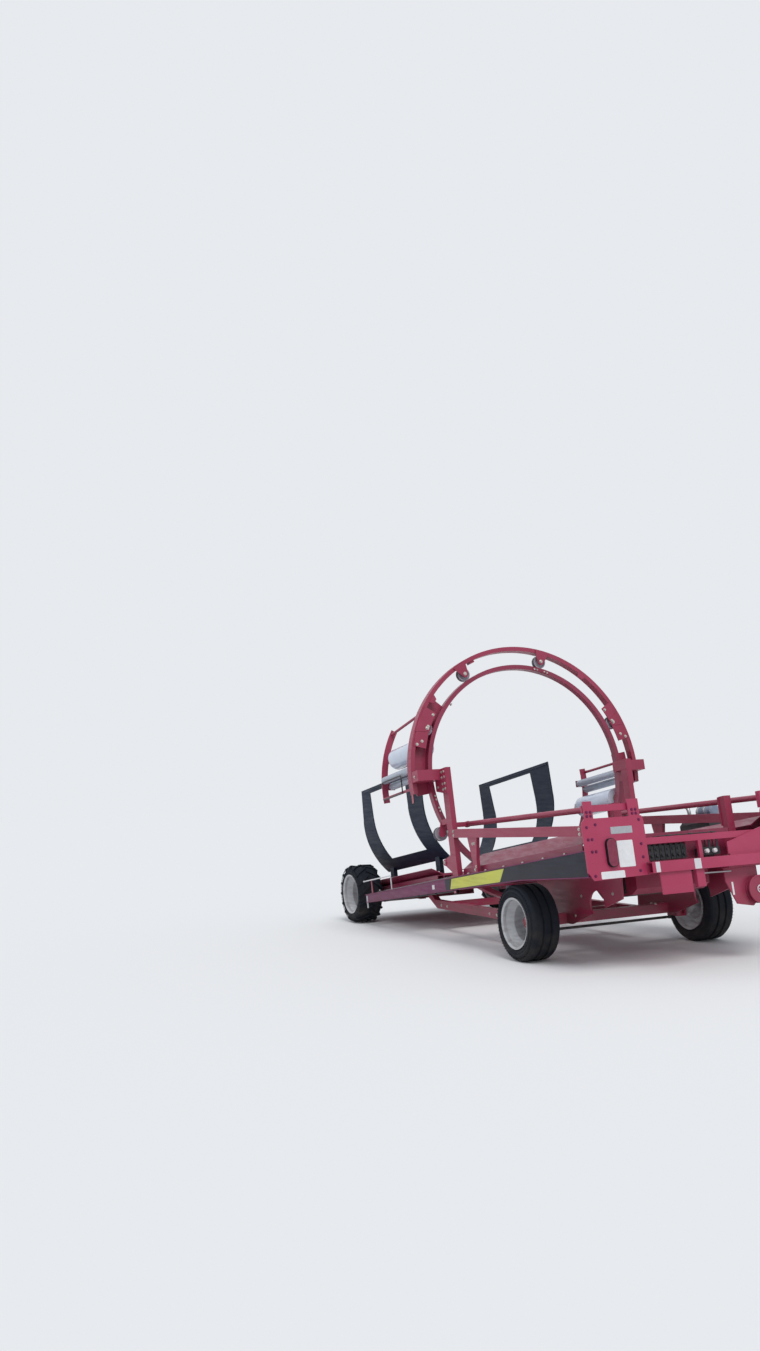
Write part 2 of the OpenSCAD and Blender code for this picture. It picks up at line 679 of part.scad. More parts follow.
// Power unit on a tray outside the far side beam
engine_u = [wheelbase - 446, wheelbase + 164];
tray_out = 270;                 // reach outside the side beam
tray_lo = -90;
tray_t = 12;
bonnet_u = [engine_u[0] + 30, engine_u[1] - 60];
bonnet_top = 330;
// bonnet's outline: [y outside the side beam, w]
bonnet = [[20, tray_lo + tray_t], [245, tray_lo + tray_t], [245, bonnet_top - 60], [205, bonnet_top],
    [60, bonnet_top], [20, bonnet_top - 40]];
louvres = 7;
filter_r = 75;
stack_y = 130;
module engine() {
    color(black) deck() {
        // tray with a folded lip
        block([engine_u[0], half_w - flange_out, tray_lo],
            [engine_u[1], half_w + tray_out, tray_lo + tray_t]);
        block([engine_u[0], half_w + tray_out - tray_t, tray_lo],
            [engine_u[1], half_w + tray_out, tray_lo + 50]);
        // bonnet with louvres on its outer side
        difference() {
            rotate([90, 0, 90]) translate([0, 0, bonnet_u[0]]) linear_extrude(bonnet_u[1] - bonnet_u[0])
                polygon([for (p = bonnet) [half_w + p[0], p[1]]]);
            for (i = [0:louvres - 1])
                block([bonnet_u[0] + 70, half_w + 237, 20 + 32 * i],
                    [bonnet_u[1] - 70, half_w + 246, 36 + 32 * i]);
        }
        // exhaust stub
        translate([engine_u[0] + 90, half_w + stack_y, bonnet_top - 5]) cylinder(r = 24, h = 80);
    }
}
module air_filter() {
    // half outline: [radius, place along the filter]
    outline = [[0, -130], [60, -130], [60, -112], [filter_r, -104], [filter_r, 60], [68, 66], [68, 118],
        [40, 130], [0, 130]];
    color("slategray") deck() translate([engine_u[1] - 200, half_w + stack_y, bonnet_top + filter_r + seat])
        rotate([0, 90, 0]) rotate_extrude() polygon(outline);
}

// Reel on a bracket plate, hung from a shelf under the lower front beam
spool_y = 630;
spool_w = -489;
spool_r = 130;
spool_core_r = 48;
spool_d = 62;
reel_plate_t = 16;
reel_shelf = [spool_y - 350, spool_y + 60, 12];     // its sides and thickness
module drum_unit() {
    lo = front_beam_lo;
    face_u = beam_out - 40;     // front face of the bracket plate
    color(purple) deck() {
        // spool: hub, two flanges and a rim round the front one
        translate([face_u, spool_y, spool_w]) rotate([0, 90, 0]) rotate_extrude()
            polygon([[0, -2], [34, -2], [34, 5], [spool_r, 5], [spool_r, 16], [spool_core_r, 16],
                [spool_core_r, spool_d - 14], [spool_r, spool_d - 14], [spool_r, spool_d],
                [spool_r - 14, spool_d], [spool_r - 14, spool_d - 6], [40, spool_d - 6], [40, spool_d],
                [0, spool_d]]);
        rotate([90, 0, 90]) translate([0, 0, face_u - reel_plate_t]) linear_extrude(reel_plate_t)
            polygon([[reel_shelf[0] + 10, lo - 4], [reel_shelf[0] + 10, lo - 130], [spool_y - 240, -604],
                [spool_y - 60, -636], [spool_y + 40, -560], [spool_y + 40, lo - 4]]);
        block([face_u - reel_plate_t - 2, reel_shelf[0], lo - reel_shelf[2]],
            [beam_out + 50, reel_shelf[1], lo]);
    }
}

// Hoop drive: a motor on the ring's plate with its friction wheel
drive_angle = post_roller;
module hoop_motor() {
    color(purple) deck() round_hoop(drive_angle)
        translate([ring_w / 2 - 1 + roller_plate, 0, roller_c]) {
            translate([7, 0, 0]) along_x(72, 14);
            translate([60, 0, 0]) along_x(50, 96);
            block([14, -36, -36], [70, 36, 36]);
        }
}

// Oil tank under the front cross member
tank_half = floor_half - 80;
tank_rear_u = wheelbase + 304;
tank_front_u = front_cross_u[1] + cross_w / 2;
tank_low = -420;
module oil_tank() {
    color("maroon") deck() {
        side_profile([[tank_rear_u, cross_lo], [tank_rear_u, tank_low + 90], [tank_rear_u + 90, tank_low],
            [tank_front_u - 100, tank_low], [tank_front_u, tank_low + 50], [tank_front_u, cross_lo]],
            -tank_half, tank_half);
        // filler neck
        translate([tank_rear_u + 150, 250, cross_lo - 2]) cylinder(r = 45, h = 40);
    }
}

// Push cylinders: barrels inside the side beams, rods out to the gate
barrel_u = [beam_rear_u + 113, hoop_u + 80];
cap_len = 60;
rod_r = 20;
rod_rear_u = barrel_u[1] - cap_len;
gate_u = beam_front_u - 270;
gate_half_h = 45;
gate_wall = 10;
gate_rear_u = gate_u - 60;
gate_front_u = gate_u + 40;
gate_post_y = (floor_half + wing_y) / 2;
gate_post_half = 40;
gate_top = upright_top;
module push_barrels() {
    color("dimgray") deck() both_sides() difference() {
        union() {
            translate([barrel_u[0], push_y, push_w]) rotate([0, 90, 0])
                cylinder(r = barrel_r - 3, h = barrel_u[1] - barrel_u[0]);
            // gland and end cap, and the lugs on the side beam
            for (u = [barrel_u[0], barrel_u[1] - cap_len])
                translate([u, push_y, push_w]) rotate([0, 90, 0]) cylinder(r = barrel_r, h = cap_len);
            for (u = [barrel_u[0] + 80, barrel_u[1] - 140])
                block([u, push_y, push_w - 20], [u + cap_len, beam_in, push_w + 20]);
        }
        translate([barrel_u[0] + cap_len, push_y, push_w]) rotate([0, 90, 0])
            cylinder(r = rod_r + run, h = barrel_u[1]);
    }
}
module push_rods() {
    color("silver") deck() both_sides() translate([rod_rear_u, push_y, push_w]) rotate([0, 90, 0])
        cylinder(r = rod_r, h = gate_rear_u - rod_rear_u);
}
module push_gate() {
    reach = push_y + 40;
    h = gate_half_h;
    t = gate_wall;
    color(purple) deck() {
        difference() {
            block([gate_rear_u, -reach, push_w - h], [gate_front_u, reach, push_w + h]);
            block([gate_rear_u + t, -reach + 100, push_w - h + t],
                [gate_front_u - t, reach - 100, push_w + h - t]);
        }
        both_sides() translate([0, gate_post_y, 0]) {
            // push post with its pad
            block([gate_rear_u + t, -gate_post_half, push_w + h],
                [gate_front_u - t, gate_post_half, gate_top]);
            block([gate_rear_u - 2, -gate_post_half - 10, 150],
                [gate_rear_u + t, gate_post_half + 10, gate_top - 4]);
        }
    }
}

// Turning ring and its two film dispensers
module turning_ring() { color(purple) deck() ring(ring_r, ring_out, inner_w); }

// Dispenser: sector plate on the ring's rear face, rear frame, tie bars and spindle ends.
// The angles are from the middle of the sector, positive down the near side at rest.
disp_angle = [-74, 106];
disp_out = hoop_in - 25;                // outer radius of its plates
ring_rear_u = hoop_u - inner_w / 2;
sector_t = 16;
sector_half = 24;
film_u1 = ring_rear_u - 54;             // front end of the film roll
film_u0 = film_u1 - film_len;
frame_u = film_u0 - 130;                // rear frame's front face
frame_arc = [-15, 22];
arm_t = 14;
arm_depth = 76;
spindle_r2 = 34;                        // spindle cones that hold the film's core
stretch_r = 42;
stretch_pin_r = 14;
stretch_place = [[11, disp_out - 31], [14, disp_out - 126]];    // [angle, radius]
tie_r = 16;
tie_place = [[20, 20, disp_out - 6], [-13, -19, disp_out - 26]];    // [angle at each end, radius]
module arc_plate(a0, a1, r0, r1, t) {
    rotate([0, 90, 0]) rotate([0, 0, 180 + a0]) rotate_extrude(angle = a1 - a0, $fn = 180)
        translate([r0, 0]) square([r1 - r0, t]);
}
// Turns about the hoop's axis by an angle within the dispenser.
module turned(a, r) { rotate([a, 0, 0]) translate([0, 0, r]) children(); }
function hoop_point(u, a, r) = [u - hoop_u, -r * sin(a), r * cos(a)];
module dispenser(a) {
    deck() round_hoop(a) {
        translate([ring_rear_u - sector_t - hoop_u, 0, 0])
            arc_plate(-sector_half, sector_half, ring_r + 4, disp_out, sector_t);
        translate([frame_u - arm_t - hoop_u, 0, 0]) {
            arc_plate(frame_arc[0], frame_arc[1], disp_out - arm_depth, disp_out, arm_t);
            // arms down to the film roll's spindle and the inner roller
            turned(0, film_orbit - 50) block([1, -45, 0], [arm_t - 1, 45, disp_out - film_orbit - 16]);
            turned(stretch_place[1][0], stretch_place[1][1] - 40)
                block([1, -40, 0], [arm_t - 1, 40, disp_out - stretch_place[1][1] - 36]);
        }
        for (p = tie_place)
            bar(hoop_point(frame_u - 2, p[0], p[2]),
                hoop_point(ring_rear_u - sector_t + 2, p[1], p[2]), tie_r);
        // spindle cones in the film's core
        for (u = [[frame_u - 2, film_u0 + 20], [film_u1 - 22, ring_rear_u - sector_t + 2]])
            turned(0, film_orbit) translate([(u[0] + u[1]) / 2 - hoop_u, 0, 0])
                along_x(spindle_r2, u[1] - u[0]);
    }
}

module dispenser_a() { color(purple) dispenser(disp_angle[0]); }
module dispenser_b() { color(purple) dispenser(disp_angle[1]); }

core_t = 11;
core_out = 8;                           // how far the core stands out of the film
module film(a) {
    r0 = spindle_r2 + seat;
    deck() round_hoop(a) translate([(film_u0 + film_u1) / 2 - hoop_u, 0, film_orbit])
        rotate([0, 90, 0]) rotate_extrude() {
            translate([r0 + core_t - seat, -film_len / 2]) square([film_r - r0 - core_t + seat, film_len]);
            // cardboard core, longer than the film
            translate([r0, -film_len / 2 - core_out]) square([core_t, film_len + 2 * core_out]);
        }
}

module film_a() { color("white") film(disp_angle[0]); }
module film_b() { color("white") film(disp_angle[1]); }

module stretch_rollers(a) {
    plate_u0 = ring_rear_u - sector_t;
    deck() round_hoop(a) for (p = stretch_place) turned(p[0], p[1])
        translate([(plate_u0 + frame_u) / 2 - hoop_u, 0, 0]) {
            along_x(stretch_r, plate_u0 - frame_u - 40);
            along_x(stretch_pin_r, plate_u0 - frame_u);
        }
}

module stretch_rollers_a() { color("slategray") stretch_rollers(disp_angle[0]); }
module stretch_rollers_b() { color("slategray") stretch_rollers(disp_angle[1]); }

// Steering knuckle: a fork over the axle's boss, the kingpin, the spindle and an arm
knuckle_t = 24;
fork_gap = 1;
fork_r = 42;
fork_in = 56;                   // the fork's back, clear of the boss
fork_out = 76;
arm_half = 22;
tie_pin_r = 10;
module knuckle_shape() {
    machine() translate([wheelbase, kingpin_y, axle_z]) {
        h = boss_h / 2 + fork_gap;
        reach = spindle_end - kingpin_y;
        cylinder(r = kingpin_r, h = 2 * h + 2, center = true);
        for (z = [h, -h - knuckle_t]) translate([0, 0, z]) {
            cylinder(r = fork_r, h = knuckle_t);
            block([-fork_r, 0, 0], [fork_r, fork_out, knuckle_t]);
        }
        block([-fork_r, fork_in, -h - knuckle_t], [fork_r, fork_out, h + knuckle_t]);
        translate([0, (fork_out + reach) / 2, 0]) along_y(spindle_r, reach - fork_out);
        // arm to the rear, at the lower ear
        difference() {
            union() {
                block([-steer_arm, -arm_half, -h - knuckle_t], [0, arm_half, -h - 2]);
                translate([-steer_arm, 0, -h - knuckle_t]) cylinder(r = arm_half, h = knuckle_t - 2);
            }
            translate([-steer_arm, 0, -h - knuckle_t - 1]) cylinder(r = tie_pin_r + run, h = knuckle_t + 2);
        }
    }
}

module knuckle_near() { color(purple) mirror([0, 1, 0]) knuckle_shape(); }
module knuckle_far() { color(purple) knuckle_shape(); }

tie_z = axle_z - boss_h / 2 - fork_gap - knuckle_t;
tie_rod_r = 14;
tie_end_r = 20;
module tie_rod() {
    color("gray") machine() translate([wheelbase - steer_arm, 0, tie_z]) {
        translate([0, 0, -22]) along_y(tie_rod_r, 2 * kingpin_y - 30);
        for (s = [-1, 1]) translate([0, s * kingpin_y, 0]) {
            translate([0, 0, -38]) cylinder(r = tie_end_r, h = 37);
            translate([0, 0, -2]) cylinder(r = tie_pin_r, h = knuckle_t + 2);
        }
    }
}

// Tyres and rims, drawn for a wheel whose outer side is +Y and moved to its place
module carcass(crown) {
    w = tyre_w / 2;
    rotate([90, 0, 0]) rotate_extrude($fn = 120) difference() {
        polygon(concat([[rim_r + seat, -w + 45], [rim_r + 24, -w + 10], [rim_r + 62, -w + 4]], crown,
            [[rim_r + 62, w - 4], [rim_r + 24, w - 10], [rim_r + seat, w - 45]]));
        polygon([[rim_r - 1, -w + 65], [rim_r + 60, -w + 26], [tyre_r - 56, -w + 50], [tyre_r - 56, w - 50],
            [rim_r + 60, w - 26], [rim_r - 1, w - 65]]);
    }
}
// Front tyre: three broad ribs
module ribbed_tyre() {
    w = tyre_w / 2;
    carcass([[tyre_r - 60, -w], [tyre_r - 12, -w + 22], [tyre_r, -w + 44], [tyre_r, -58], [tyre_r - 16, -50],
        [tyre_r - 16, -38], [tyre_r, -30], [tyre_r, 30], [tyre_r - 16, 38], [tyre_r - 16, 50], [tyre_r, 58],
        [tyre_r, w - 44], [tyre_r - 12, w - 22], [tyre_r - 60, w]]);
}
// Rear tyre: lugs that rake back from the middle to both shoulders, a lug's corner on the ground
lug_count = 16;
lug_rake = 38;
lug_t = 26;
lug_h = 24;
lug_past = 6;                   // how far a lug passes the middle
lug_half = (tyre_w / 2 - 4 + lug_past) / cos(lug_rake) / 2;
lug_corner = lug_half * sin(lug_rake) + lug_t / 2 * cos(lug_rake);
lug_top = sqrt(tyre_r * tyre_r - lug_corner * lug_corner);
module lug() {
    low = tyre_r - lug_h - 20;
    translate([0, (tyre_w / 2 - 4 - lug_past) / 2, 0]) rotate([0, 0, -lug_rake]) translate([lug_t / 2, 0, 0])
        rotate([90, 0, -90]) linear_extrude(lug_t)
            polygon([[lug_half, low], [lug_half, lug_top], [-lug_half + 46, lug_top],
                [-lug_half, lug_top - 26], [-lug_half, low - 30], [-lug_half + 50, low]]);
}
module lugged_tyre() {
    w = tyre_w / 2;
    crown = tyre_r - lug_h;
    carcass([[crown - 40, -w + 4], [crown - 14, -w + 24], [crown, -w + 66], [crown, w - 66],
        [crown - 14, w - 24], [crown - 40, w - 4]]);
    phase = atan2(lug_corner, lug_top);
    for (i = [0:lug_count - 1]) {
        rotate([0, 180 - phase + 360 * i / lug_count, 0]) lug();
        rotate([0, 180 - phase + 360 * (i + 0.5) / lug_count, 0]) mirror([0, 1, 0]) lug();
    }
}
hub_r = 60;
cap_r = 76;                     // hub barrel inboard of the disc
hand_holes = 8;
hole_r = 13;
hole_pitch = 165;
// half of the rim's section: [radius inside the bead's, distance inside the rim's edge]
rim_section = [[60, 110], [8, 46], [8, 10], [-14, 0], [-14, 6], [0, 14], [0, 50], [50, 114]];
module rim() {
    w = tyre_w / 2;
    disc = rim_disc_y - wheel_y;
    n = len(rim_section) - 1;
    difference() {
        union() {
            rotate([90, 0, 0]) rotate_extrude($fn = 120) polygon(concat(
                [for (p = rim_section) [rim_r - p[0], -w + p[1]]],
                [for (i = [n:-1:0]) [rim_r - rim_section[i][0], w - rim_section[i][1]]]));
            // dished disc and hub
            translate([0, disc, 0]) rotate([90, 0, 0]) rotate_extrude()
                polygon([[20, -6], [105, -6], [150, 26], [rim_r - 54, 26], [rim_r - 54, 38], [144, 38],
                    [98, 6], [20, 6]]);
            translate([0, disc + (hub_out - hub_in) / 2, 0]) along_y(hub_r, hub_in + hub_out);
            translate([0, disc - hub_in / 2, 0]) along_y(cap_r, hub_in - 60);
        }
        translate([0, disc, 0]) along_y(spindle_r + run, 2 * (hub_in + 10));
        for (i = [0:hand_holes - 1])
            rotate([0, 360 * i / hand_holes, 0]) translate([0, disc, hole_pitch]) along_y(hole_r, 160);
    }
}
// x, side, for the four wheels
module at_wheel(x, s) {
    machine() translate([x, s * wheel_y, axle_z]) scale([1, s, 1]) children();
}
module tyre_front_near() { color(black) at_wheel(wheelbase, -1) ribbed_tyre(); }
module tyre_front_far() { color(black) at_wheel(wheelbase, 1) ribbed_tyre(); }
module tyre_rear_near() { color(black) at_wheel(0, -1) lugged_tyre(); }
module tyre_rear_far() { color(black) at_wheel(0, 1) lugged_tyre(); }
module rim_front_near() { color(rim_grey) at_wheel(wheelbase, -1) rim(); }
module rim_front_far() { color(rim_grey) at_wheel(wheelbase, 1) rim(); }
module rim_rear_near() { color(rim_grey) at_wheel(0, -1) rim(); }
module rim_rear_far() { color(rim_grey) at_wheel(0, 1) rim(); }

side_beams();
chassis_rails();
front_subframe();
rear_axle();
front_axle();
front_deck();
rear_deck();
tail_roller();
hitch();
guide_near();
guide_far();
fixed_ring();
guide_rollers();
hoop_post_near();
hoop_post_far();
guard_rails();
guard_tubes();
corner_plates();
front_beams();
hang_plate();
tail_lamps();
engine();
air_filter();
drum_unit();
hoop_motor();
oil_tank();
push_barrels();
turning_ring();
dispenser_a();
dispenser_b();
film_a();
film_b();
stretch_rollers_a();
stretch_rollers_b();
knuckle_near();
knuckle_far();
tie_rod();
tyre_front_near();
tyre_front_far();
tyre_rear_near();
tyre_rear_far();
rim_front_near();
rim_front_far();
rim_rear_near();
rim_rear_far();
push_gate();
push_rods();
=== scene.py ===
import bpy, bmesh, random
from math import radians, sin, cos, pi, sqrt
from mathutils import Matrix, Vector
from mathutils.bvhtree import BVHTree


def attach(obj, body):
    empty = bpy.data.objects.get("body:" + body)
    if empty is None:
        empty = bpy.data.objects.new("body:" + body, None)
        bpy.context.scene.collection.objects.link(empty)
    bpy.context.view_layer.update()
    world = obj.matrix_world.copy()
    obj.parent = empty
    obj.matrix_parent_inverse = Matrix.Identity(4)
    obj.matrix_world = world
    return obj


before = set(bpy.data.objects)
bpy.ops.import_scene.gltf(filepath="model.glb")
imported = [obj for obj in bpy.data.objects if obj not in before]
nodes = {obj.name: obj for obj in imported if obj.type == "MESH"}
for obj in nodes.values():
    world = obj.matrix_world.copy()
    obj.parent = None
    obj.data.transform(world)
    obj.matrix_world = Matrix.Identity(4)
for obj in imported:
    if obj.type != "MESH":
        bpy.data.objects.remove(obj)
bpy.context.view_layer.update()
print("frame loaded,", len(nodes), "nodes")

# the deck frame: u along the deck, y across, w over the side beams
deckFrame = dict(midX=2.7013068, lift=0.329, tilt=8.0, hoopU=2.920, hoopW=1.133, halfWidth=1.211)
mid = deckFrame["midX"]
still = Matrix()
alongX = Matrix(((0, 0, 1, 0), (1, 0, 0, 0), (0, 1, 0, 0), (0, 0, 0, 1)))  # an outline's x, y, z to y, z, x


def shift(x, y, z):
    return Matrix.Translation((x, y, z))


def turn(angle, axis="X"):
    return Matrix.Rotation(radians(angle), 4, axis)


deckM = shift(-mid, 0, deckFrame["lift"]) @ turn(-deckFrame["tilt"], "Y")
# an outline's x, y to u, w, and its z out to the side s
sideOn = {s: deckM @ Matrix(((1, 0, 0, 0), (0, 0, s, 0), (0, 1, 0, 0), (0, 0, 0, 1))) for s in (-1, 1)}
forward = deckM.to_3x3() @ Vector((1, 0, 0))
rearward = -forward
downward = -(deckM.to_3x3() @ Vector((0, 0, 1)))


def onDeck(u, y, w):
    return deckM @ Vector((u, y, w))


def deckAt(u, y, w):
    return deckM @ shift(u, y, w)


def aroundHoop(angle):  # z points outwards at the angle, 0 at the top, positive to the far side
    return deckAt(deckFrame["hoopU"], 0, deckFrame["hoopW"]) @ turn(-angle)


# materials
def setInputs(tree, node, inputs):  # a socket is linked, any other value is set as a constant
    for key, value in inputs.items():
        if isinstance(value, bpy.types.NodeSocket):
            tree.links.new(value, node.inputs[key])
        else:
            node.inputs[key].default_value = value


def addNode(tree, kind, inputs=None, **settings):
    node = tree.nodes.new(kind)
    for key, value in settings.items():
        setattr(node, key, value)
    setInputs(tree, node, inputs or {})
    return node


def product(tree, a, b):
    return addNode(tree, "ShaderNodeMath", {0: a, 1: b}, operation="MULTIPLY").outputs[0]


def newMaterial(name):
    mat = bpy.data.materials.new(name)
    mat.use_nodes = True
    tree = mat.node_tree
    tree.nodes.clear()
    bsdf = addNode(tree, "ShaderNodeBsdfPrincipled")
    addNode(tree, "ShaderNodeOutputMaterial", {0: bsdf.outputs[0]})
    return mat, tree, bsdf


def objectCoords(tree):
    return addNode(tree, "ShaderNodeTexCoord").outputs["Object"]


def noiseOn(tree, coords, scale, detail=4.0, rough=0.55, stretch=None):
    if stretch:
        coords = addNode(tree, "ShaderNodeMapping", {"Vector": coords, "Scale": stretch}).outputs[0]
    noise = addNode(tree, "ShaderNodeTexNoise", {"Vector": coords, "Scale": scale, "Detail": detail,
                                                 "Roughness": rough})
    return noise.outputs["Fac"]


def greyRamp(tree, fac, low, high, a=0.0, b=1.0):
    ramp = addNode(tree, "ShaderNodeValToRGB", {0: fac})
    for stop, place, grey in zip(ramp.color_ramp.elements, (low, high), (a, b)):
        stop.position = place
        stop.color = (grey, grey, grey, 1)
    return ramp.outputs[0]


def mixColour(tree, fac, a, b):  # each colour is a socket or red, green and blue
    a, b = ((*c, 1) if isinstance(c, tuple) else c for c in (a, b))
    return addNode(tree, "ShaderNodeMix", {0: fac, 6: a, 7: b}, data_type="RGBA").outputs[2]


def bumpFrom(tree, bsdf, height, strength, distance):
    bump = addNode(tree, "ShaderNodeBump", {"Strength": strength, "Distance": distance, "Height": height})
    setInputs(tree, bsdf, {"Normal": bump.outputs[0]})


def heightFade(tree, coords, low, high):  # 1 at the ground, 0 above
    split = addNode(tree, "ShaderNodeSeparateXYZ", {0: coords})
    inputs = {"Value": split.outputs["Z"], "From Min": low, "From Max": high, "To Min": 1.0, "To Max": 0.0}
    return addNode(tree, "ShaderNodeMapRange", inputs).outputs[0]


mudColour = (0.13, 0.10, 0.075)
paintWear = dict(
    fadeScale=1.7, grainScale=38, streakScale=9, streakStretch=(0.35, 1.0, 3.2), dirtLow=0.15,
    dirtMost=0.6, chipEdge=0.035, chipDark=0.42, scratchScale=34, scratchStretch=(0.035, 3.0, 3.0),
    scratchMost=0.7, scratchColour=(0.24, 0.17, 0.19), coat=0.24, coatRough=0.22)


def paintMaterial(name, colour, faded, dirt=mudColour, rough=0.38, dirtTop=0.9, chips=0.66, scraped=False,
                  gloss=0.5):
    mat, tree, bsdf = newMaterial(name)
    coords, t = objectCoords(tree), paintWear
    fine = noiseOn(tree, coords, t["grainScale"], 6, 0.7)
    streak = noiseOn(tree, coords, t["streakScale"], 5, 0.6, t["streakStretch"])
    fade = greyRamp(tree, noiseOn(tree, coords, t["fadeScale"], 5), 0.35, 0.72)
    low = heightFade(tree, coords, t["dirtLow"], dirtTop)
    splash = product(tree, low, greyRamp(tree, streak, 0.42, 0.68))  # dirt, thicker low down
    dusty = mixColour(tree, product(tree, splash, t["dirtMost"]), mixColour(tree, fade, colour, faded), dirt)
    chip = greyRamp(tree, fine, chips, chips + t["chipEdge"])
    worn = mixColour(tree, chip, dusty, tuple(c * t["chipDark"] for c in colour))
    if scraped:  # long scratches down to the steel, along the way the bales and film go
        lines = noiseOn(tree, coords, t["scratchScale"], 2, 0.5, t["scratchStretch"])
        patch = greyRamp(tree, noiseOn(tree, coords, 2.4, 4), 0.45, 0.62)
        scratch = product(tree, greyRamp(tree, lines, 0.60, 0.72, 0.0, t["scratchMost"]), patch)
        worn = mixColour(tree, scratch, worn, t["scratchColour"])
    uneven = greyRamp(tree, streak, 0.3, 0.75, rough - 0.08, rough + 0.22)
    setInputs(tree, bsdf, {"Base Color": worn, "Roughness": uneven, "Specular IOR Level": gloss,
                           "Coat Weight": t["coat"] * gloss, "Coat Roughness": t["coatRough"]})
    bumpFrom(tree, bsdf, fine, 0.08, 0.001)
    return mat


def metalMaterial(name, colour, rough, streaks=60, metallic=1.0, stain=(0.18, 0.12, 0.08), stainLow=0.62):
    mat, tree, bsdf = newMaterial(name)
    coords = objectCoords(tree)
    brushed = noiseOn(tree, coords, streaks, 4, 0.6, (0.2, 1, 1))
    spots = greyRamp(tree, noiseOn(tree, coords, 11, 6, 0.65), stainLow, stainLow + 0.14)
    setInputs(tree, bsdf, {"Base Color": mixColour(tree, spots, colour, stain), "Metallic": metallic,
                           "Roughness": greyRamp(tree, brushed, 0.3, 0.7, rough - 0.06, rough + 0.12)})
    bumpFrom(tree, bsdf, brushed, 0.06, 0.0008)
    return mat


def rubberMaterial(name, colour, dust, dustTop):
    mat, tree, bsdf = newMaterial(name)
    coords = objectCoords(tree)
    grain = noiseOn(tree, coords, 90, 5, 0.7)
    patch = greyRamp(tree, noiseOn(tree, coords, 6, 5, 0.6), 0.38, 0.7)
    amount = product(tree, heightFade(tree, coords, 0.0, dustTop), patch)
    setInputs(tree, bsdf, {"Base Color": mixColour(tree, amount, colour, dust), "Specular IOR Level": 0.18,
                           "Roughness": greyRamp(tree, grain, 0.3, 0.7, 0.6, 0.85)})
    bumpFrom(tree, bsdf, grain, 0.2, 0.0015)
    return mat


def plasticMaterial(name, colour, second, rough=0.35, scale=14, bump=0.05, coat=0.0):
    mat, tree, bsdf = newMaterial(name)
    coords = objectCoords(tree)
    patch = noiseOn(tree, coords, scale, 5, 0.6)
    setInputs(tree, bsdf, {"Base Color": mixColour(tree, greyRamp(tree, patch, 0.35, 0.7), colour, second),
                           "Roughness": greyRamp(tree, patch, 0.3, 0.7, rough - 0.05, rough + 0.12),
                           "Coat Weight": coat})
    bumpFrom(tree, bsdf, noiseOn(tree, coords, scale * 9, 3), bump, 0.001)
    return mat


paintLooks = dict(
    frameRed=dict(colour=(0.26, 0.016, 0.053), faded=(0.32, 0.033, 0.080)),
    deckRed=dict(colour=(0.22, 0.015, 0.052), faded=(0.28, 0.032, 0.08), rough=0.34, dirtTop=0.5, chips=0.68,
                 scraped=True),
    # the side beams' red: the frame's red paint darkened as painted shade for the beams facing away from the
    # light
    beamRed=dict(colour=(0.135, 0.013, 0.068), faded=(0.175, 0.028, 0.095), rough=0.42, dirtTop=0.55,
                 gloss=0.3),
    # the front plates' red: the same red paint lightened as painted light where the plates face the light
    frontRed=dict(colour=(0.36, 0.026, 0.082), faded=(0.42, 0.046, 0.115), rough=0.34, dirtTop=0.8,
                  chips=0.69),
    ringRed=dict(colour=(0.21, 0.014, 0.048), faded=(0.27, 0.028, 0.075), rough=0.32, dirtTop=0.5, chips=0.67,
                 scraped=True),
    # the guides' black paint, tinted blue as painted sky light; the dirt colour is real dust
    satinBlack=dict(colour=(0.006, 0.012, 0.028), faded=(0.010, 0.020, 0.044), dirt=(0.05, 0.048, 0.046),
                    rough=0.46, chips=0.68, gloss=0.16),
    bandBlack=dict(colour=(0.008, 0.009, 0.020), faded=(0.018, 0.020, 0.034), rough=0.40, dirtTop=1.1,
                   chips=0.70, gloss=0.25),
    bandYellow=dict(colour=(0.60, 0.60, 0.06), faded=(0.48, 0.50, 0.08), rough=0.40, dirtTop=1.0, chips=0.70),
    engineBlack=dict(colour=(0.010, 0.011, 0.015), faded=(0.022, 0.023, 0.028), rough=0.45),
    cylinderBlack=dict(colour=(0.014, 0.014, 0.018), faded=(0.03, 0.03, 0.035), rough=0.30),
    rimGrey=dict(colour=(0.50, 0.51, 0.53), faded=(0.38, 0.39, 0.41), rough=0.36, dirtTop=0.75, chips=0.68),
    hubRed=dict(colour=(0.36, 0.02, 0.045), faded=(0.28, 0.028, 0.05), rough=0.4, dirtTop=0.7))
metalLooks = dict(
    rollerSteel=dict(colour=(0.55, 0.57, 0.60), rough=0.32),
    boltZinc=dict(colour=(0.55, 0.54, 0.50), rough=0.36, streaks=90),
    rodChrome=dict(colour=(0.86, 0.87, 0.88), rough=0.08, streaks=120, stain=(0.5, 0.48, 0.45),
                  stainLow=0.72),
    pipeSteel=dict(colour=(0.36, 0.36, 0.37), rough=0.36, streaks=80),
    weldGrey=dict(colour=(0.16, 0.05, 0.065), rough=0.5, streaks=70, metallic=0.2, stain=(0.10, 0.03, 0.04)),
    stretchGrey=dict(colour=(0.42, 0.46, 0.53), rough=0.42, streaks=40, metallic=0.3,
                     stain=(0.34, 0.37, 0.43)))
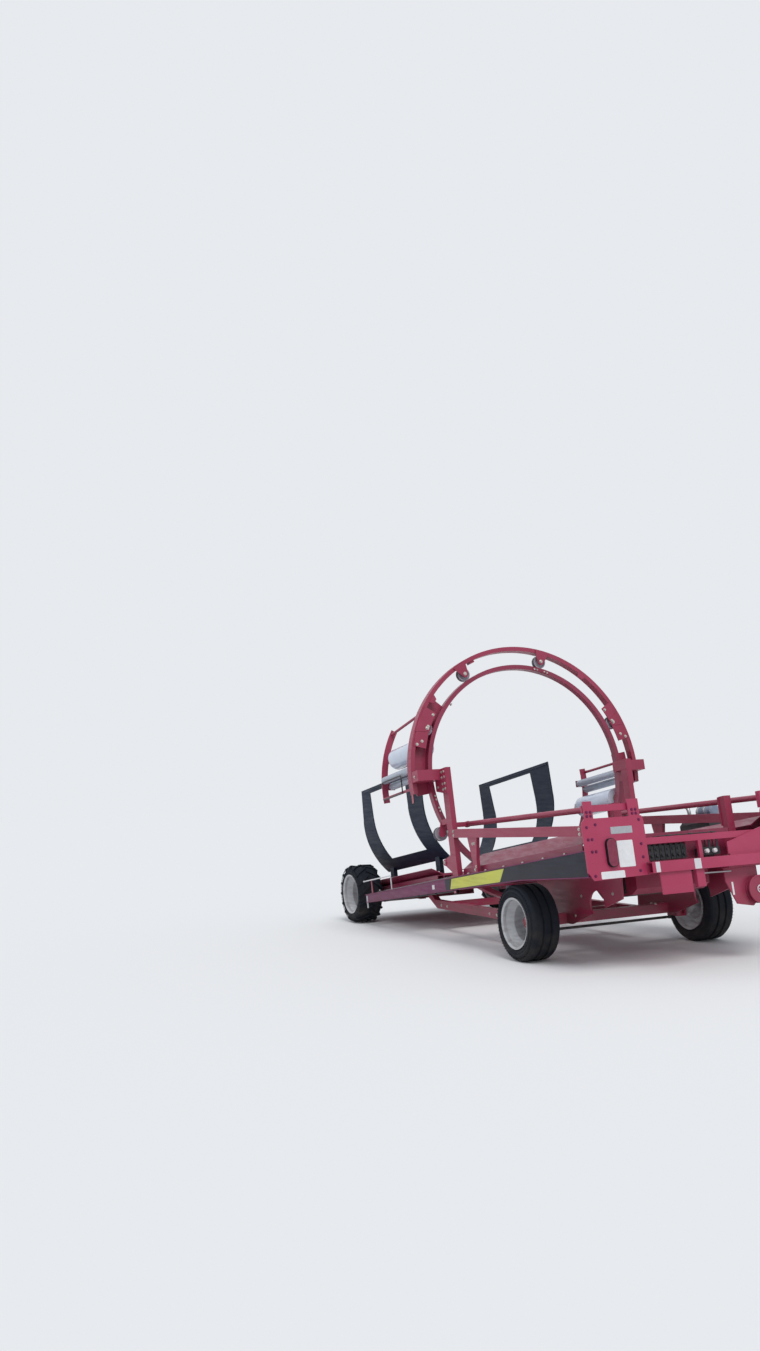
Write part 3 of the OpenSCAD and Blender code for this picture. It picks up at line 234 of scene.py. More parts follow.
plasticLooks = dict(
    pipeBlack=dict(colour=(0.010, 0.011, 0.014), second=(0.025, 0.026, 0.030), scale=30),
    rollerGrey=dict(colour=(0.34, 0.31, 0.36), second=(0.25, 0.24, 0.28), rough=0.5),
    lensRed=dict(colour=(0.27, 0.028, 0.075), second=(0.20, 0.020, 0.055), rough=0.12, scale=30, bump=0.02,
                 coat=0.5),
    filterGrey=dict(colour=(0.15, 0.19, 0.28), second=(0.19, 0.23, 0.31), rough=0.3, bump=0.03, coat=0.3),
    # the wrap film's white, darkened and tinted blue as painted shade
    filmWhite=dict(colour=(0.60, 0.66, 0.76), second=(0.50, 0.57, 0.70), rough=0.16, scale=5, bump=0.03,
                   coat=0.5),
    coreBrown=dict(colour=(0.34, 0.23, 0.14), second=(0.26, 0.18, 0.10), rough=0.8, scale=60),
    sheetWhite=dict(colour=(0.74, 0.75, 0.76), second=(0.66, 0.67, 0.69), rough=0.4, scale=20),
    labelGrey=dict(colour=(0.40, 0.41, 0.44), second=(0.34, 0.35, 0.38), scale=40),
    tapeSilver=dict(colour=(0.66, 0.66, 0.68), second=(0.54, 0.54, 0.57), rough=0.3, scale=200, bump=0.1,
                    coat=0.4),
    tapeRed=dict(colour=(0.40, 0.05, 0.08), second=(0.34, 0.04, 0.065), rough=0.3, scale=200, bump=0.1,
                 coat=0.4))
rubberLooks = dict(
    rollerDark=dict(colour=(0.035, 0.036, 0.042), dust=(0.08, 0.08, 0.085), dustTop=0.2),
    sealBlack=dict(colour=(0.010, 0.010, 0.013), dust=(0.03, 0.03, 0.032), dustTop=0.2),
    tyreRubber=dict(colour=(0.009, 0.012, 0.019), dust=(0.055, 0.048, 0.042), dustTop=0.6))
finishes = {}
for make, looks in ((paintMaterial, paintLooks), (metalMaterial, metalLooks), (plasticMaterial, plasticLooks),
                    (rubberMaterial, rubberLooks)):
    finishes.update({name: make(name, **look) for name, look in looks.items()})
print("materials made:", len(finishes))

# CAD nodes and the finish that each shows
wheelNames = ("front_near", "front_far", "rear_near", "rear_far")
nodeFinish = dict(
    frameRed=["chassis_rails", "front_subframe", "rear_axle", "front_axle", "hitch", "fixed_ring",
              "hoop_post_near", "hoop_post_far", "guard_rails", "guard_tubes", "drum_unit", "hoop_motor",
              "dispenser_a", "dispenser_b", "knuckle_near", "knuckle_far", "push_gate", "oil_tank"],
    deckRed=["front_deck", "rear_deck"], ringRed=["turning_ring"], beamRed=["side_beams"],
    frontRed=["corner_plates", "front_beams", "hang_plate"], satinBlack=["guide_near", "guide_far"],
    engineBlack=["engine"], cylinderBlack=["push_barrels", "tie_rod"], rollerSteel=["tail_roller"],
    rollerGrey=["guide_rollers"], lensRed=["tail_lamps"], filterGrey=["air_filter"], rodChrome=["push_rods"],
    filmWhite=["film_a", "film_b"], stretchGrey=["stretch_rollers_a", "stretch_rollers_b"],
    rimGrey=["rim_" + wheel for wheel in wheelNames], tyreRubber=["tyre_" + wheel for wheel in wheelNames])
for finish, names in nodeFinish.items():
    for name in names:
        nodes[name].data.materials.clear()
        nodes[name].data.materials.append(finishes[finish])
print("finishes set on the nodes")

# links an added piece into the scene
intoScene = bpy.context.scene.collection.objects.link


# mesh helpers
def plainMesh(bm, at=None):
    bmesh.ops.remove_doubles(bm, verts=bm.verts, dist=1e-6)
    bmesh.ops.recalc_face_normals(bm, faces=bm.faces)
    if at is not None:
        bmesh.ops.transform(bm, matrix=at, verts=bm.verts)
    mesh = bpy.data.meshes.new("part")
    bm.to_mesh(mesh)
    bm.free()
    return mesh


def addPiece(name, shape, finish, body="chassis", bevel=0.0, smooth=30, at=None):
    mesh = shape if isinstance(shape, bpy.types.Mesh) else plainMesh(shape, at)
    piece = bpy.data.objects.new(name, mesh)
    intoScene(piece)
    mesh.materials.clear()
    mesh.materials.append(finishes[finish])
    if smooth:
        mesh.shade_smooth()
        mesh.set_sharp_from_angle(angle=radians(smooth))
    if bevel:
        edge = piece.modifiers.new("edge", "BEVEL")
        edge.width, edge.segments = bevel, 2
        edge.limit_method, edge.angle_limit = "ANGLE", radians(40)
    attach(piece, body)


def rect(xs, ys):
    return [(xs[0], ys[0]), (xs[1], ys[0]), (xs[1], ys[1]), (xs[0], ys[1])]


def addSkin(bm, rings, closed=False, caps=False):  # faces over rings of points; one point alone is a pole
    rings = [[bm.verts.new(p) for p in ring] for ring in rings]
    for a, b in zip(rings, rings[1:] + (rings[:1] if closed else [])):
        count = max(len(a), len(b))
        for k in range(count):
            j = (k + 1) % count
            face = list(dict.fromkeys([a[k % len(a)], a[j % len(a)], b[j % len(b)], b[k % len(b)]]))
            if len(face) > 2:
                bm.faces.new(face)
    if caps:
        bm.faces.new(rings[0][::-1])
        bm.faces.new(rings[-1])


def addPrism(bm, outline, low, high, at=still):  # outline in x, y, drawn out along z
    addSkin(bm, [[at @ Vector((x, y, z)) for x, y in outline] for z in (low, high)], caps=True)


def addBox(bm, lo, hi, at=still):
    addPrism(bm, rect((lo[0], hi[0]), (lo[1], hi[1])), lo[2], hi[2], at)


def addLathe(bm, profile, turns=32, at=still, closed=False):  # profile in radius, x, turned round x
    angles = [2 * pi * k / turns for k in range(turns)]
    rings = [[at @ Vector((x, r * cos(a), r * sin(a))) for a in (angles if r else (0,))] for r, x in profile]
    addSkin(bm, rings, closed)


def boxed(lo, hi):
    bm = bmesh.new()
    addBox(bm, lo, hi)
    return bm


def lathed(profile, turns=32, at=still, closed=False):
    bm = bmesh.new()
    addLathe(bm, profile, turns, at, closed)
    return bm


def filleted(points, radius, steps=5):  # rounds the corners of a route
    pts = [Vector(p) for p in points]
    route = [pts[0]]
    for a, b, c in zip(pts, pts[1:], pts[2:]):
        u, v = (a - b).normalized(), (c - b).normalized()
        r = min(radius, (a - b).length * 0.45, (c - b).length * 0.45)
        p, q = b + u * r, b + v * r
        for k in range(steps + 1):
            t = k / steps
            route.append((1 - t) ** 2 * p + 2 * t * (1 - t) * b + t * t * q)
    return route + [pts[-1]]


def addTube(bm, route, radius, corners=12):
    rings, up = [], Vector((0, 0, 1))
    angles = [2 * pi * k / corners for k in range(corners)]
    for i, place in enumerate(route):
        along = (route[min(i + 1, len(route) - 1)] - route[max(i - 1, 0)]).normalized()
        if i == 0 and abs(along.dot(up)) > 0.95:
            up = Vector((0, 1, 0))
        side = along.cross(up).normalized()
        up = side.cross(along).normalized()
        rings.append([place + radius * (cos(a) * side + sin(a) * up) for a in angles])
    addSkin(bm, rings, caps=True)


# geometry nodes
def treeFor(name, **inputs):  # the given inputs stand between the geometry and the finish
    tree = bpy.data.node_groups.new(name, "GeometryNodeTree")
    for label, kind in {"Geometry": "Geometry", **inputs, "Finish": "Material"}.items():
        tree.interface.new_socket(label, in_out="INPUT", socket_type="NodeSocket" + kind)
    tree.interface.new_socket("Geometry", in_out="OUTPUT", socket_type="NodeSocketGeometry")
    return tree, tree.nodes.new("NodeGroupInput").outputs


def finishTree(tree, start, geometry):
    real = addNode(tree, "GeometryNodeRealizeInstances", {0: geometry})
    done = addNode(tree, "GeometryNodeSetMaterial", {0: real.outputs[0], "Material": start["Finish"]})
    addNode(tree, "NodeGroupOutput", {0: done.outputs[0]})
    return tree


def joined(tree, *parts):
    join = tree.nodes.new("GeometryNodeJoinGeometry")
    for part in parts:
        tree.links.new(part, join.inputs[0])
    return join.outputs[0]


def onPoints(tree, points, shape, **more):
    inputs = {"Points": points, "Instance": shape, **more}
    return addNode(tree, "GeometryNodeInstanceOnPoints", inputs).outputs[0]


def cylinder(tree, vertices, radius, depth):
    inputs = {"Vertices": vertices, "Radius": radius, "Depth": depth}
    return addNode(tree, "GeometryNodeMeshCylinder", inputs).outputs["Mesh"]


def turned(tree, axis, angle):
    return addNode(tree, "FunctionNodeAxisAngleToRotation", {"Axis": axis, "Angle": angle}).outputs[0]


def alongRoute(tree, start, spacing):  # a route's edges as a curve, and points on it
    curve = addNode(tree, "GeometryNodeMeshToCurve", {0: start[0]}).outputs[0]
    return curve, addNode(tree, "GeometryNodeCurveToPoints", {0: curve, "Length": start[spacing]},
                          mode="LENGTH").outputs


def randomBetween(tree, low, high, seed):
    inputs = {"Seed": seed, 2: low, 3: high}
    return addNode(tree, "FunctionNodeRandomValue", inputs, data_type="FLOAT").outputs[1]


# a hexagon head, its washer and the thread's end at every point, turned to the point's facing
def boltTree():
    tree, start = treeFor("boltRow", Head="Float", Height="Float", Washer="Float")
    head, height = start["Head"], start["Height"]
    stud = cylinder(tree, 8, product(tree, head, 0.55), product(tree, height, 1.7))
    rise = addNode(tree, "ShaderNodeCombineXYZ", {"Z": product(tree, height, 0.5)}).outputs[0]
    lifted = addNode(tree, "GeometryNodeTransform",
                     {0: joined(tree, cylinder(tree, 6, head, height), stud), "Translation": rise}).outputs[0]
    bolt = joined(tree, lifted, cylinder(tree, 14, start["Washer"], 0.004))
    facing = addNode(tree, "GeometryNodeInputNamedAttribute", {"Name": "facing"}, data_type="FLOAT_VECTOR")
    facing = facing.outputs["Attribute"]
    align = addNode(tree, "FunctionNodeAlignRotationToVector", {"Vector": facing}, axis="Z").outputs[0]
    spin = turned(tree, (0, 0, 1), randomBetween(tree, 0.0, 6.28, 7))
    rotate = addNode(tree, "FunctionNodeRotateRotation", {0: align, 1: spin}, rotation_space="LOCAL")
    points = addNode(tree, "GeometryNodeMeshToPoints", {0: start[0]}).outputs[0]
    return finishTree(tree, start, onPoints(tree, points, bolt, Rotation=rotate.outputs[0]))


# a shape repeated round the x axis
def ringTree():
    tree, start = treeFor("ribRing", Count="Int")
    index = addNode(tree, "GeometryNodeInputIndex").outputs[0]
    share = addNode(tree, "ShaderNodeMath", {0: index, 1: start["Count"]}, operation="DIVIDE").outputs[0]
    points = addNode(tree, "GeometryNodePoints", {"Count": start["Count"]}).outputs[0]
    ring = onPoints(tree, points, start[0], Rotation=turned(tree, (1, 0, 0), product(tree, share, 2 * pi)))
    return finishTree(tree, start, ring)


# a shape repeated in a straight row
def rowTree():
    tree, start = treeFor("shapeRow", Count="Int", Step="Vector")
    inputs = {"Count": start["Count"], "Offset": start["Step"]}
    line = addNode(tree, "GeometryNodeMeshLine", inputs).outputs[0]
    return finishTree(tree, start, onPoints(tree, line, start[0]))


# a tube along the route's edges, with a clip every so often
def pipeTree():
    tree, start = treeFor("pipeRun", Radius="Float", Spacing="Float", Clip="Float")
    curve, spaced = alongRoute(tree, start, "Spacing")
    circle = addNode(tree, "GeometryNodeCurvePrimitiveCircle", {"Resolution": 10, "Radius": start["Radius"]})
    tube = addNode(tree, "GeometryNodeCurveToMesh", {"Curve": curve, "Profile Curve": circle.outputs[0],
                                                     "Fill Caps": True}).outputs[0]
    clips = onPoints(tree, spaced[0], cylinder(tree, 10, start["Clip"], 0.028), Rotation=spaced["Rotation"])
    return finishTree(tree, start, joined(tree, tube, clips))


# small overlapping beads along the edges of a route, as a weld is
def weldTree():
    tree, start = treeFor("weldBead", Size="Float", Pitch="Float")
    _, spaced = alongRoute(tree, start, "Pitch")
    bead = addNode(tree, "GeometryNodeMeshIcoSphere", {"Subdivisions": 1, "Radius": start["Size"]})
    beads = onPoints(tree, spaced[0], bead.outputs["Mesh"], Rotation=spaced["Rotation"],
                     Scale=randomBetween(tree, 0.85, 1.15, 11))
    return finishTree(tree, start, beads)


boltRow, ribRing, shapeRow, pipeRun, weldBead = boltTree(), ringTree(), rowTree(), pipeTree(), weldTree()


def growMesh(name, tree, source, finish, **values):  # runs a tree on a mesh and gives the plain result
    holder = bpy.data.objects.new(name + "Source", source)
    intoScene(holder)
    grow = holder.modifiers.new("grow", "NODES")
    grow.node_group = tree
    sockets = {s.name: s.identifier for s in tree.interface.items_tree
               if s.item_type == "SOCKET" and s.in_out == "INPUT"}
    for label, value in {**values, "Finish": finishes[finish]}.items():
        grow[sockets[label]] = value
    depsgraph = bpy.context.evaluated_depsgraph_get()
    result = bpy.data.meshes.new_from_object(holder.evaluated_get(depsgraph))
    result.name = name
    holder.modifiers.clear()
    bpy.data.objects.remove(holder)
    return result


def addRepeat(name, bm, tree, at, finish, body="chassis", slotName=None, smooth=30, **values):
    grown = growMesh(name, tree, plainMesh(bm), finish, **values)
    grown.transform(at)
    addPiece(name, grown, finish, body, smooth=smooth)


def addBolts(name, places, body="chassis", size=(0.012, 0.008, 0.017), finish="boltZinc"):
    mesh = bpy.data.meshes.new(name)
    mesh.from_pydata([place for place, _ in places], [], [])
    facing = mesh.attributes.new("facing", "FLOAT_VECTOR", "POINT")
    for point, (_, way) in zip(facing.data, places):
        point.vector = way
    head, height, washer = size
    grown = growMesh(name, boltRow, mesh, finish, Head=head, Height=height, Washer=washer)
    addPiece(name, grown, finish, body)


def routeMesh(name, routes):
    verts, edges = [], []
    for route in routes:
        edges += [(len(verts) + i, len(verts) + i + 1) for i in range(len(route) - 1)]
        verts += [Vector(p) for p in route]
    mesh = bpy.data.meshes.new(name)
    mesh.from_pydata(verts, edges, [])
    return mesh


def addPipes(name, routes, radius, spacing, bend, finish="pipeBlack"):
    mesh = routeMesh(name, [filleted(route, bend) for route in routes])
    grown = growMesh(name, pipeRun, mesh, finish, Radius=radius, Spacing=spacing, Clip=radius * 1.7)
    addPiece(name, grown, finish, smooth=40)


surfaces = {}


def hitOn(node, start, way):  # where a line from start first meets a CAD node, and the facing there
    if node not in surfaces:
        mesh = nodes[node].data
        faces = [p.vertices for p in mesh.polygons]
        surfaces[node] = BVHTree.FromPolygons([v.co for v in mesh.vertices], faces)
    place, normal, _, _ = surfaces[node].ray_cast(Vector(start), Vector(way))
    return place, normal


def boltSpots(spots):  # (node, start, way) to the places where the node is flat across the way
    found = []
    for node, start, way in spots:
        place, normal = hitOn(node, start, way)
        if place is None or abs(normal.dot(Vector(way).normalized())) < 0.9:
            print("  no flat place for a bolt on", node)
        else:
            found.append((place, -Vector(way)))
    return found


print("node trees made")

# side beams: black band and yellow field on the webs
sideTrim = dict(
    web=deckFrame["halfWidth"] - 0.006, skin=0.0012, edge=0.0105, band=(2.90, 5.826), bandSteps=12,
    depths=[(0.537, 0.104), (4.600, 0.165), (5.830, 0.245)],  # place along, depth under the top
    field=[(3.02, -0.125), (3.075, -0.018), (4.29, -0.018), (4.175, -0.142)],
    mark=[(2.558, 2.618), (-0.094, -0.044)], marker=(3.105, 3.155),
    strip=[(0.560, -0.02), (0.602, -0.02), (0.598, -0.168), (0.590, -0.174), (0.566, -0.174),
           (0.560, -0.168)])


def beamDepth(u):
    table = sideTrim["depths"]
    for (a, da), (b, db) in zip(table, table[1:]):
        if u <= b:
            return da + (db - da) * (u - a) / (b - a)
    return table[-1][1]


def sidePiece(name, outline, low, high, finish, bevel=0.0):  # low and high from the web's face
    bm = bmesh.new()
    for s in (-1, 1):
        addPrism(bm, outline, sideTrim["web"] + low, sideTrim["web"] + high, sideOn[s])
    addPiece(name, bm, finish, bevel=bevel)


t = sideTrim
start, end = t["band"]
stations = [start + (end - start) * k / t["bandSteps"] for k in range(t["bandSteps"] + 1)]
stations = sorted(stations + [t["depths"][1][0]])
outline = [(start, -t["edge"]), (end, -t["edge"])]
outline += [(u, t["edge"] - beamDepth(u)) for u in reversed(stations)]
sidePiece("sideBand", outline, -0.001, t["skin"], "bandBlack")
sidePiece("sideField", t["field"], 0.0, 2 * t["skin"], "bandYellow")

# thin rails over the rear ends of the beams, each on a post and a bent foot
railTrim = dict(
    u=(0.38, 1.27), y=1.150, w=0.172, r=0.008, bend=0.035, post=0.640, foot=(0.028, 0.022, 0.006),
    cap=[(0, -0.004), (0.011, -0.002), (0.011, 0.014), (0, 0.016)],
    plate=[(-0.024, 0.005), (0.024, 0.005), (0.012, 0.184), (-0.012, 0.184)])
t = railTrim
rails, feet = bmesh.new(), bmesh.new()
(a, b), w, (du, dy, thick) = t["u"], t["w"], t["foot"]
for s in (-1, 1):
    y = s * t["y"]
    addTube(rails, filleted([onDeck(a, y, w), onDeck(b, y, w), onDeck(b, y, 0.001)], t["bend"], 6), t["r"])
    addLathe(rails, t["cap"], 16, deckAt(a, y, w))
    for u in (t["post"], b):
        addBox(feet, (u - du, y - dy, 0.0002), (u + du, y + dy, thick), deckM)
    addPrism(feet, [(t["post"] + u, v) for u, v in t["plate"]], t["y"] - 0.003, t["y"] + 0.003, sideOn[s])
addPiece("beamBars", rails, "sheetWhite")
addPiece("beamBarFeet", feet, "frameRed", bevel=0.001)

# reflectors, end strips and marker lamps on the beams
t = sideTrim
sidePiece("sideMarks", rect(*t["mark"]), -0.001, 0.003, "tapeSilver", bevel=0.001)
sidePiece("endStrips", t["strip"], -0.001, 0.005, "labelGrey", bevel=0.001)
start, end = t["marker"]
under = -beamDepth(start)
body = rect((start - 0.006, end + 0.006), (under - 0.038, under + 0.002))
lens = rect((start, end), (under - 0.034, under - 0.008))
sidePiece("markerBodies", body, -0.030, -0.002, "sealBlack", 0.003)
sidePiece("markerLenses", lens, -0.003, 0.004, "lensRed", bevel=0.002)
print("side beams dressed")

# corner plates: seals and ribs of the lamps, blank label and sheet, strips, tapes on the lower beam, bolts
cornerTrim = dict(
    front=5.846, lampY=0.945, lampW=-0.04, lampR=0.050, lampHalf=0.075,
    seal=[(-0.001, 0.0302), (0.0005, 0.0318), (0.003, 0.0314), (0.005, 0.028), (0.0055, 0.0),
          (-0.001, 0.0)],  # how far round the lamp, how far out
    ribs=9, ribPitch=0.0046, bars=(-0.042, 0.042),
    sheet=((-0.872, -0.702), (-0.176, 0.063)), label=((-0.917, -0.686), (0.126, 0.190)),
    strips=((-1.08, -0.83), (0.83, 1.08)), stripW=(-0.268, -0.203),
    tapes=((-0.545, -0.498), (-0.118, -0.043)), tapeW=(-0.253, -0.160), lowerBeam=0.080,
    bolts=[(-1.165, 0.20), (-1.165, 0.09), (-1.125, 0.09), (-1.14, -0.02), (-1.10, -0.02),
           (-1.14, -0.235), (-0.66, -0.22), (-1.07, 0.22), (-0.61, 0.02), (-0.61, -0.10),
           (-0.60, 0.24), (1.165, 0.20), (1.165, 0.09), (1.125, 0.09), (1.14, -0.02),
           (1.10, -0.02), (1.14, -0.235), (0.84, 0.24), (0.84, 0.10)],
    uprights=(-0.64, -1.125, 0.86, 1.125), boltSize=(0.010, 0.007, 0.0145))


def ovalRoute(radius, half, steps=12):
    ends = [(half, pi * k / steps) for k in range(steps + 1)]
    ends += [(-half, pi + pi * k / steps) for k in range(steps + 1)]
    return [(radius * cos(a), centre + radius * sin(a)) for centre, a in ends]


def platePiece(name, spans, w, skin, finish, corner=0.006, u=cornerTrim["front"]):  # with cut corners
    bm = bmesh.new()
    (low, high), c = w, corner
    for a, b in spans:
        addPrism(bm, [(a + c, low), (b - c, low), (b, low + c), (b, high - c), (b - c, high), (a + c, high),
                      (a, high - c), (a, low + c)], 0.0, skin, deckM @ (shift(u, 0, 0) @ alongX))
    addPiece(name, bm, finish)


t = cornerTrim
seals, ribs = bmesh.new(), bmesh.new()
for s in (-1, 1):
    m = deckAt(t["front"], s * t["lampY"], t["lampW"])
    addSkin(seals, [[m @ Vector((out, y, z)) for y, z in ovalRoute(t["lampR"] + grow, t["lampHalf"])]
                    for grow, out in t["seal"]], closed=True)
    for k in range(-t["ribs"], t["ribs"] + 1):
        y = k * t["ribPitch"]
        reach = t["lampHalf"] + sqrt(max(t["lampR"] ** 2 - y * y, 0)) - 0.006
        addBox(ribs, (0.0298, y - 0.0008, -reach), (0.0312, y + 0.0008, reach), m)
    for w in t["bars"]:  # between the three fields of the lens
        addBox(ribs, (0.0298, -0.046, w - 0.0015), (0.0316, 0.046, w + 0.0015), m)
addPiece("lampSeals", seals, "sealBlack", smooth=50)
addPiece("lampRibs", ribs, "lensRed", smooth=0)
platePiece("plateSheet", [t["sheet"][0]], t["sheet"][1], 0.002, "sheetWhite")
platePiece("plateLabel", [t["label"][0]], t["label"][1], 0.0015, "labelGrey", 0.004)
platePiece("plateStrips", t["strips"], t["stripW"], 0.003, "sheetWhite")
platePiece("beamTapes", t["tapes"], t["tapeW"], 0.0015, "tapeSilver", 0.002, t["front"] + t["lowerBeam"])
heads = t["bolts"] + [(y + d, w) for y in t["uprights"] for d in (-0.02, 0.02) for w in (0.300, 0.335)]
spots = [("corner_plates", onDeck(6.2, y, w), rearward) for y, w in heads]
# the plate bolts take the darkened side-beam red, painted shade on the frame's red paint
addBolts("plateBolts", boltSpots(spots), size=t["boltSize"], finish="beamRed")

# reel under the lower beam: light ring with a drive slot, strip on its bracket, turns of cord
reelTrim = dict(
    face=5.868, back=5.8285, y=0.630, w=-0.489, ring=0.030, turns=3, pitch=0.0092, cord=0.0045,
    wound=0.105, strip=((0.352, 0.372), (-0.520, -0.400)), stripU=5.806, pipeR=0.008,
    pipe=[(5.875, -0.002, -0.295), (5.875, 0.325, -0.300), (5.805, 0.325, -0.300)])
t = reelTrim
bm, m, r = bmesh.new(), deckAt(t["face"], t["y"], t["w"]), t["ring"]
addLathe(bm, [(r - 0.004, 0.0), (r, 0.004), (r + 0.006, 0.004), (r + 0.009, 0.0)], 40, m, True)
addBox(bm, (0.0, -0.020, -0.004), (0.003, 0.020, 0.004), m)
addPiece("reelRing", bm, "tapeSilver")
platePiece("reelStrip", [t["strip"][0]], t["strip"][1], 0.002, "sheetWhite", 0.003, t["stripU"])
angles = [2 * pi * k / 8 for k in range(8)]
cord = [(t["wound"] + t["cord"] * cos(a), t["cord"] * sin(a)) for a in angles]
addRepeat("reelTurns", lathed(cord, 40, closed=True), shapeRow, deckAt(t["back"], t["y"], t["w"]),
          "pipeBlack", smooth=60, Count=t["turns"], Step=(t["pitch"], 0, 0))

# front beams: block with two white caps, valve bank, pipes down and over the upper beam
valveTrim = dict(
    u=(5.700, 5.788), y=(0.075, 0.300), w=-0.130, high=0.072, straps=(0.100, 0.187, 0.275),
    capR=0.021, capsAt=(0.135, 0.225), bankU=(5.665, 5.757), bankY=-0.480, bankW=(-0.135, -0.006),
    sections=7, pitch=0.0605, dropY=(0.105, 0.150, 0.195, 0.240), dropR=0.006, crossR=0.0052,
    crossW=0.076, crossings=4,
    drop=[(5.74, 0, -0.131), (5.74, 0, -0.23), (5.55, -0.03, -0.25), (5.34, -0.05, -0.25),
          (5.34, -0.05, -0.20)],
    near=(-0.392, 0.0605), far=(0.260, -0.045), over=(5.8255, -0.0105))  # crossing pipes: first, step
t = valveTrim
bm, (u0, u1), w0 = bmesh.new(), t["u"], t["w"]
addBox(bm, (u0, t["y"][0], w0), (u1, t["y"][1], w0 + t["high"]), deckM)
for y in t["straps"]:  # hang the block from the upper beam
    addBox(bm, (u1 - 0.008, y - 0.012, w0 + 0.01), (u1 + 0.001, y + 0.012, 0.068), deckM)
addPiece("valveBlock", bm, "engineBlack", bevel=0.003)
bm, r = bmesh.new(), t["capR"]
for y in t["capsAt"]:
    addLathe(bm, [(0, -0.002), (r - 0.002, -0.002), (r, 0.004), (r, 0.030), (r - 0.005, 0.036),
                  (r * 0.5, 0.038), (r * 0.4, 0.034), (0, 0.034)], 28, deckAt(u1, y, w0 + 0.036))
addPiece("valveCaps", bm, "sheetWhite", bevel=0.001)
bm, (u0, u1), (w0, w1) = bmesh.new(), t["bankU"], t["bankW"]
addBox(bm, (u0, 0.001, w0), (u1, 0.055, w1))  # one section, its lever housing, spool cap and nut
addBox(bm, (u0 + 0.02, 0.012, w1 - 0.001), (u1 - 0.02, 0.044, w1 + 0.016))
w = (w0 + w1) / 2
addLathe(bm, [(0, -0.001), (0.016, -0.001), (0.016, 0.012), (0.012, 0.016), (0, 0.016)], 16,
         shift(u1, 0.028, w - 0.028))
addLathe(bm, [(0, -0.001), (0.012, -0.001), (0.012, 0.008), (0, 0.008)], 6, shift(u1, 0.028, w + 0.028))
addRepeat("valveBank", bm, shapeRow, deckAt(0, t["bankY"], 0), "engineBlack", slotName="black_paint",
          Count=t["sections"], Step=(0, t["pitch"], 0))
bm = bmesh.new()
for y in (t["bankY"] - 0.006, t["bankY"] + t["sections"] * t["pitch"]):
    addBox(bm, (u0 + 0.01, y, w0 + 0.02), (u1 - 0.01, y + 0.008, 0.040), deckM)
    addBox(bm, (u1 - 0.02, y, 0.018), (5.7905, y + 0.008, 0.050), deckM)
addPiece("valveHangers", bm, "frameRed", bevel=0.001)
drops = [[onDeck(u, y + off, w) for u, off, w in t["drop"]] for y in t["dropY"]]
addPipes("valvePipes", drops, t["dropR"], spacing=0.16, bend=0.05)
across, w = [], t["crossW"]
for k in range(t["crossings"]):  # over the top of the upper beam, side by side
    y0, y1, u = (first + step * k for first, step in (t["near"], t["far"], t["over"]))
    across.append([onDeck(*p) for p in ((5.715, y0, 0.008), (5.715, y0, w), (u, y0, w), (u, y1, w),
                                        (5.744, y1, w), (5.744, y1, -0.060))])
addPipes("crossPipes", across, t["crossR"], spacing=0.22, bend=0.022)
t = reelTrim  # pipe between the front beam and the reel's bracket
addPipes("reelPipe", [[onDeck(*p) for p in t["pipe"]]], t["pipeR"], spacing=0.5, bend=0.03,
         finish="pipeSteel")
print("front end dressed")

# bolts on the frame, sought from outside (u, w or x, z) and from above (u, y)
boltTrim = dict(
    outside=1.5, foot=[(3.106, 1.173), (3.106, 1.198)],
    post=[(u, w) for u in (3.160, 3.220) for w in (0.96, 1.02, 1.09, 1.15)]
    + [(3.04, 1.00), (3.04, 1.13), (2.965, 0.171)],
    guards=[(3.655, 0.03), (3.685, 0.06), (3.66, 0.30), (3.70, 0.30), (3.262, 0.435), (3.262, 0.48),
            (5.79, 0.15), (5.79, 0.195)],
    rails=[(x, 0.30) for x in (1.62, 1.78, 2.86, 3.03, 3.42, 3.58)],
    subframe=[(4.02, 0.42), (4.02, 0.62), (4.62, 0.42), (4.75, 0.62), (5.30, 0.68), (5.30, 0.86),
              (4.55, 0.80)],
    deckEdge=[(3.40 + 0.40 * k, 1.155) for k in range(6)])
t = boltTrim
spots = []
for side, s in (("near", -1), ("far", 1)):
    post, y, inward = "hoop_post_" + side, s * t["outside"], Vector((0, -s, 0))
    spots += [(post, onDeck(u, s * v, 0.3), downward) for u, v in t["foot"]]
    spots += [(post, onDeck(u, y, w), inward) for u, w in t["post"]]
    spots += [("guard_rails", onDeck(u, y, w), inward) for u, w in t["guards"]]
    spots += [("chassis_rails", (x - mid, y, z), inward) for x, z in t["rails"]]
    spots += [("front_subframe", (x - mid, y, z), inward) for x, z in t["subframe"]]
    spots += [("front_deck", onDeck(u, s * v, 0.2), downward) for u, v in t["deckEdge"]]
addBolts("frameBolts", boltSpots(spots))

# bright studs on the side plates of the hoop, and the bolts in its rollers' eyes
rollerTrim = dict(
    orbit=1.3616, angles=(-66, -30, 15, 66, 164, 196, 118, -118), onPosts=118, tread=0.0784,
    half=0.025, grooves=(-0.014, 0.0, 0.014), eyeSize=(0.016, 0.012, 0.022),
    studs=[(58.5, 1.350), (65, 1.357), (73, 1.387), (75, 1.440)], studSize=(0.013, 0.010, 0.018))
t = rollerTrim
spots = [("fixed_ring", aroundHoop(s * angle) @ Vector((0.3, 0, r)), rearward)
         for angle, r in t["studs"] for s in (-1, 1)]
addBolts("hoopStuds", boltSpots(spots), size=t["studSize"])
eyeNodes = {t["onPosts"]: "hoop_post_far", -t["onPosts"]: "hoop_post_near"}
spots = [(eyeNodes.get(angle, "fixed_ring"), aroundHoop(angle) @ Vector((0.3, 0, t["orbit"])), rearward)
         for angle in t["angles"]]
addBolts("rollerBolts", boltSpots(spots), size=t["eyeSize"])

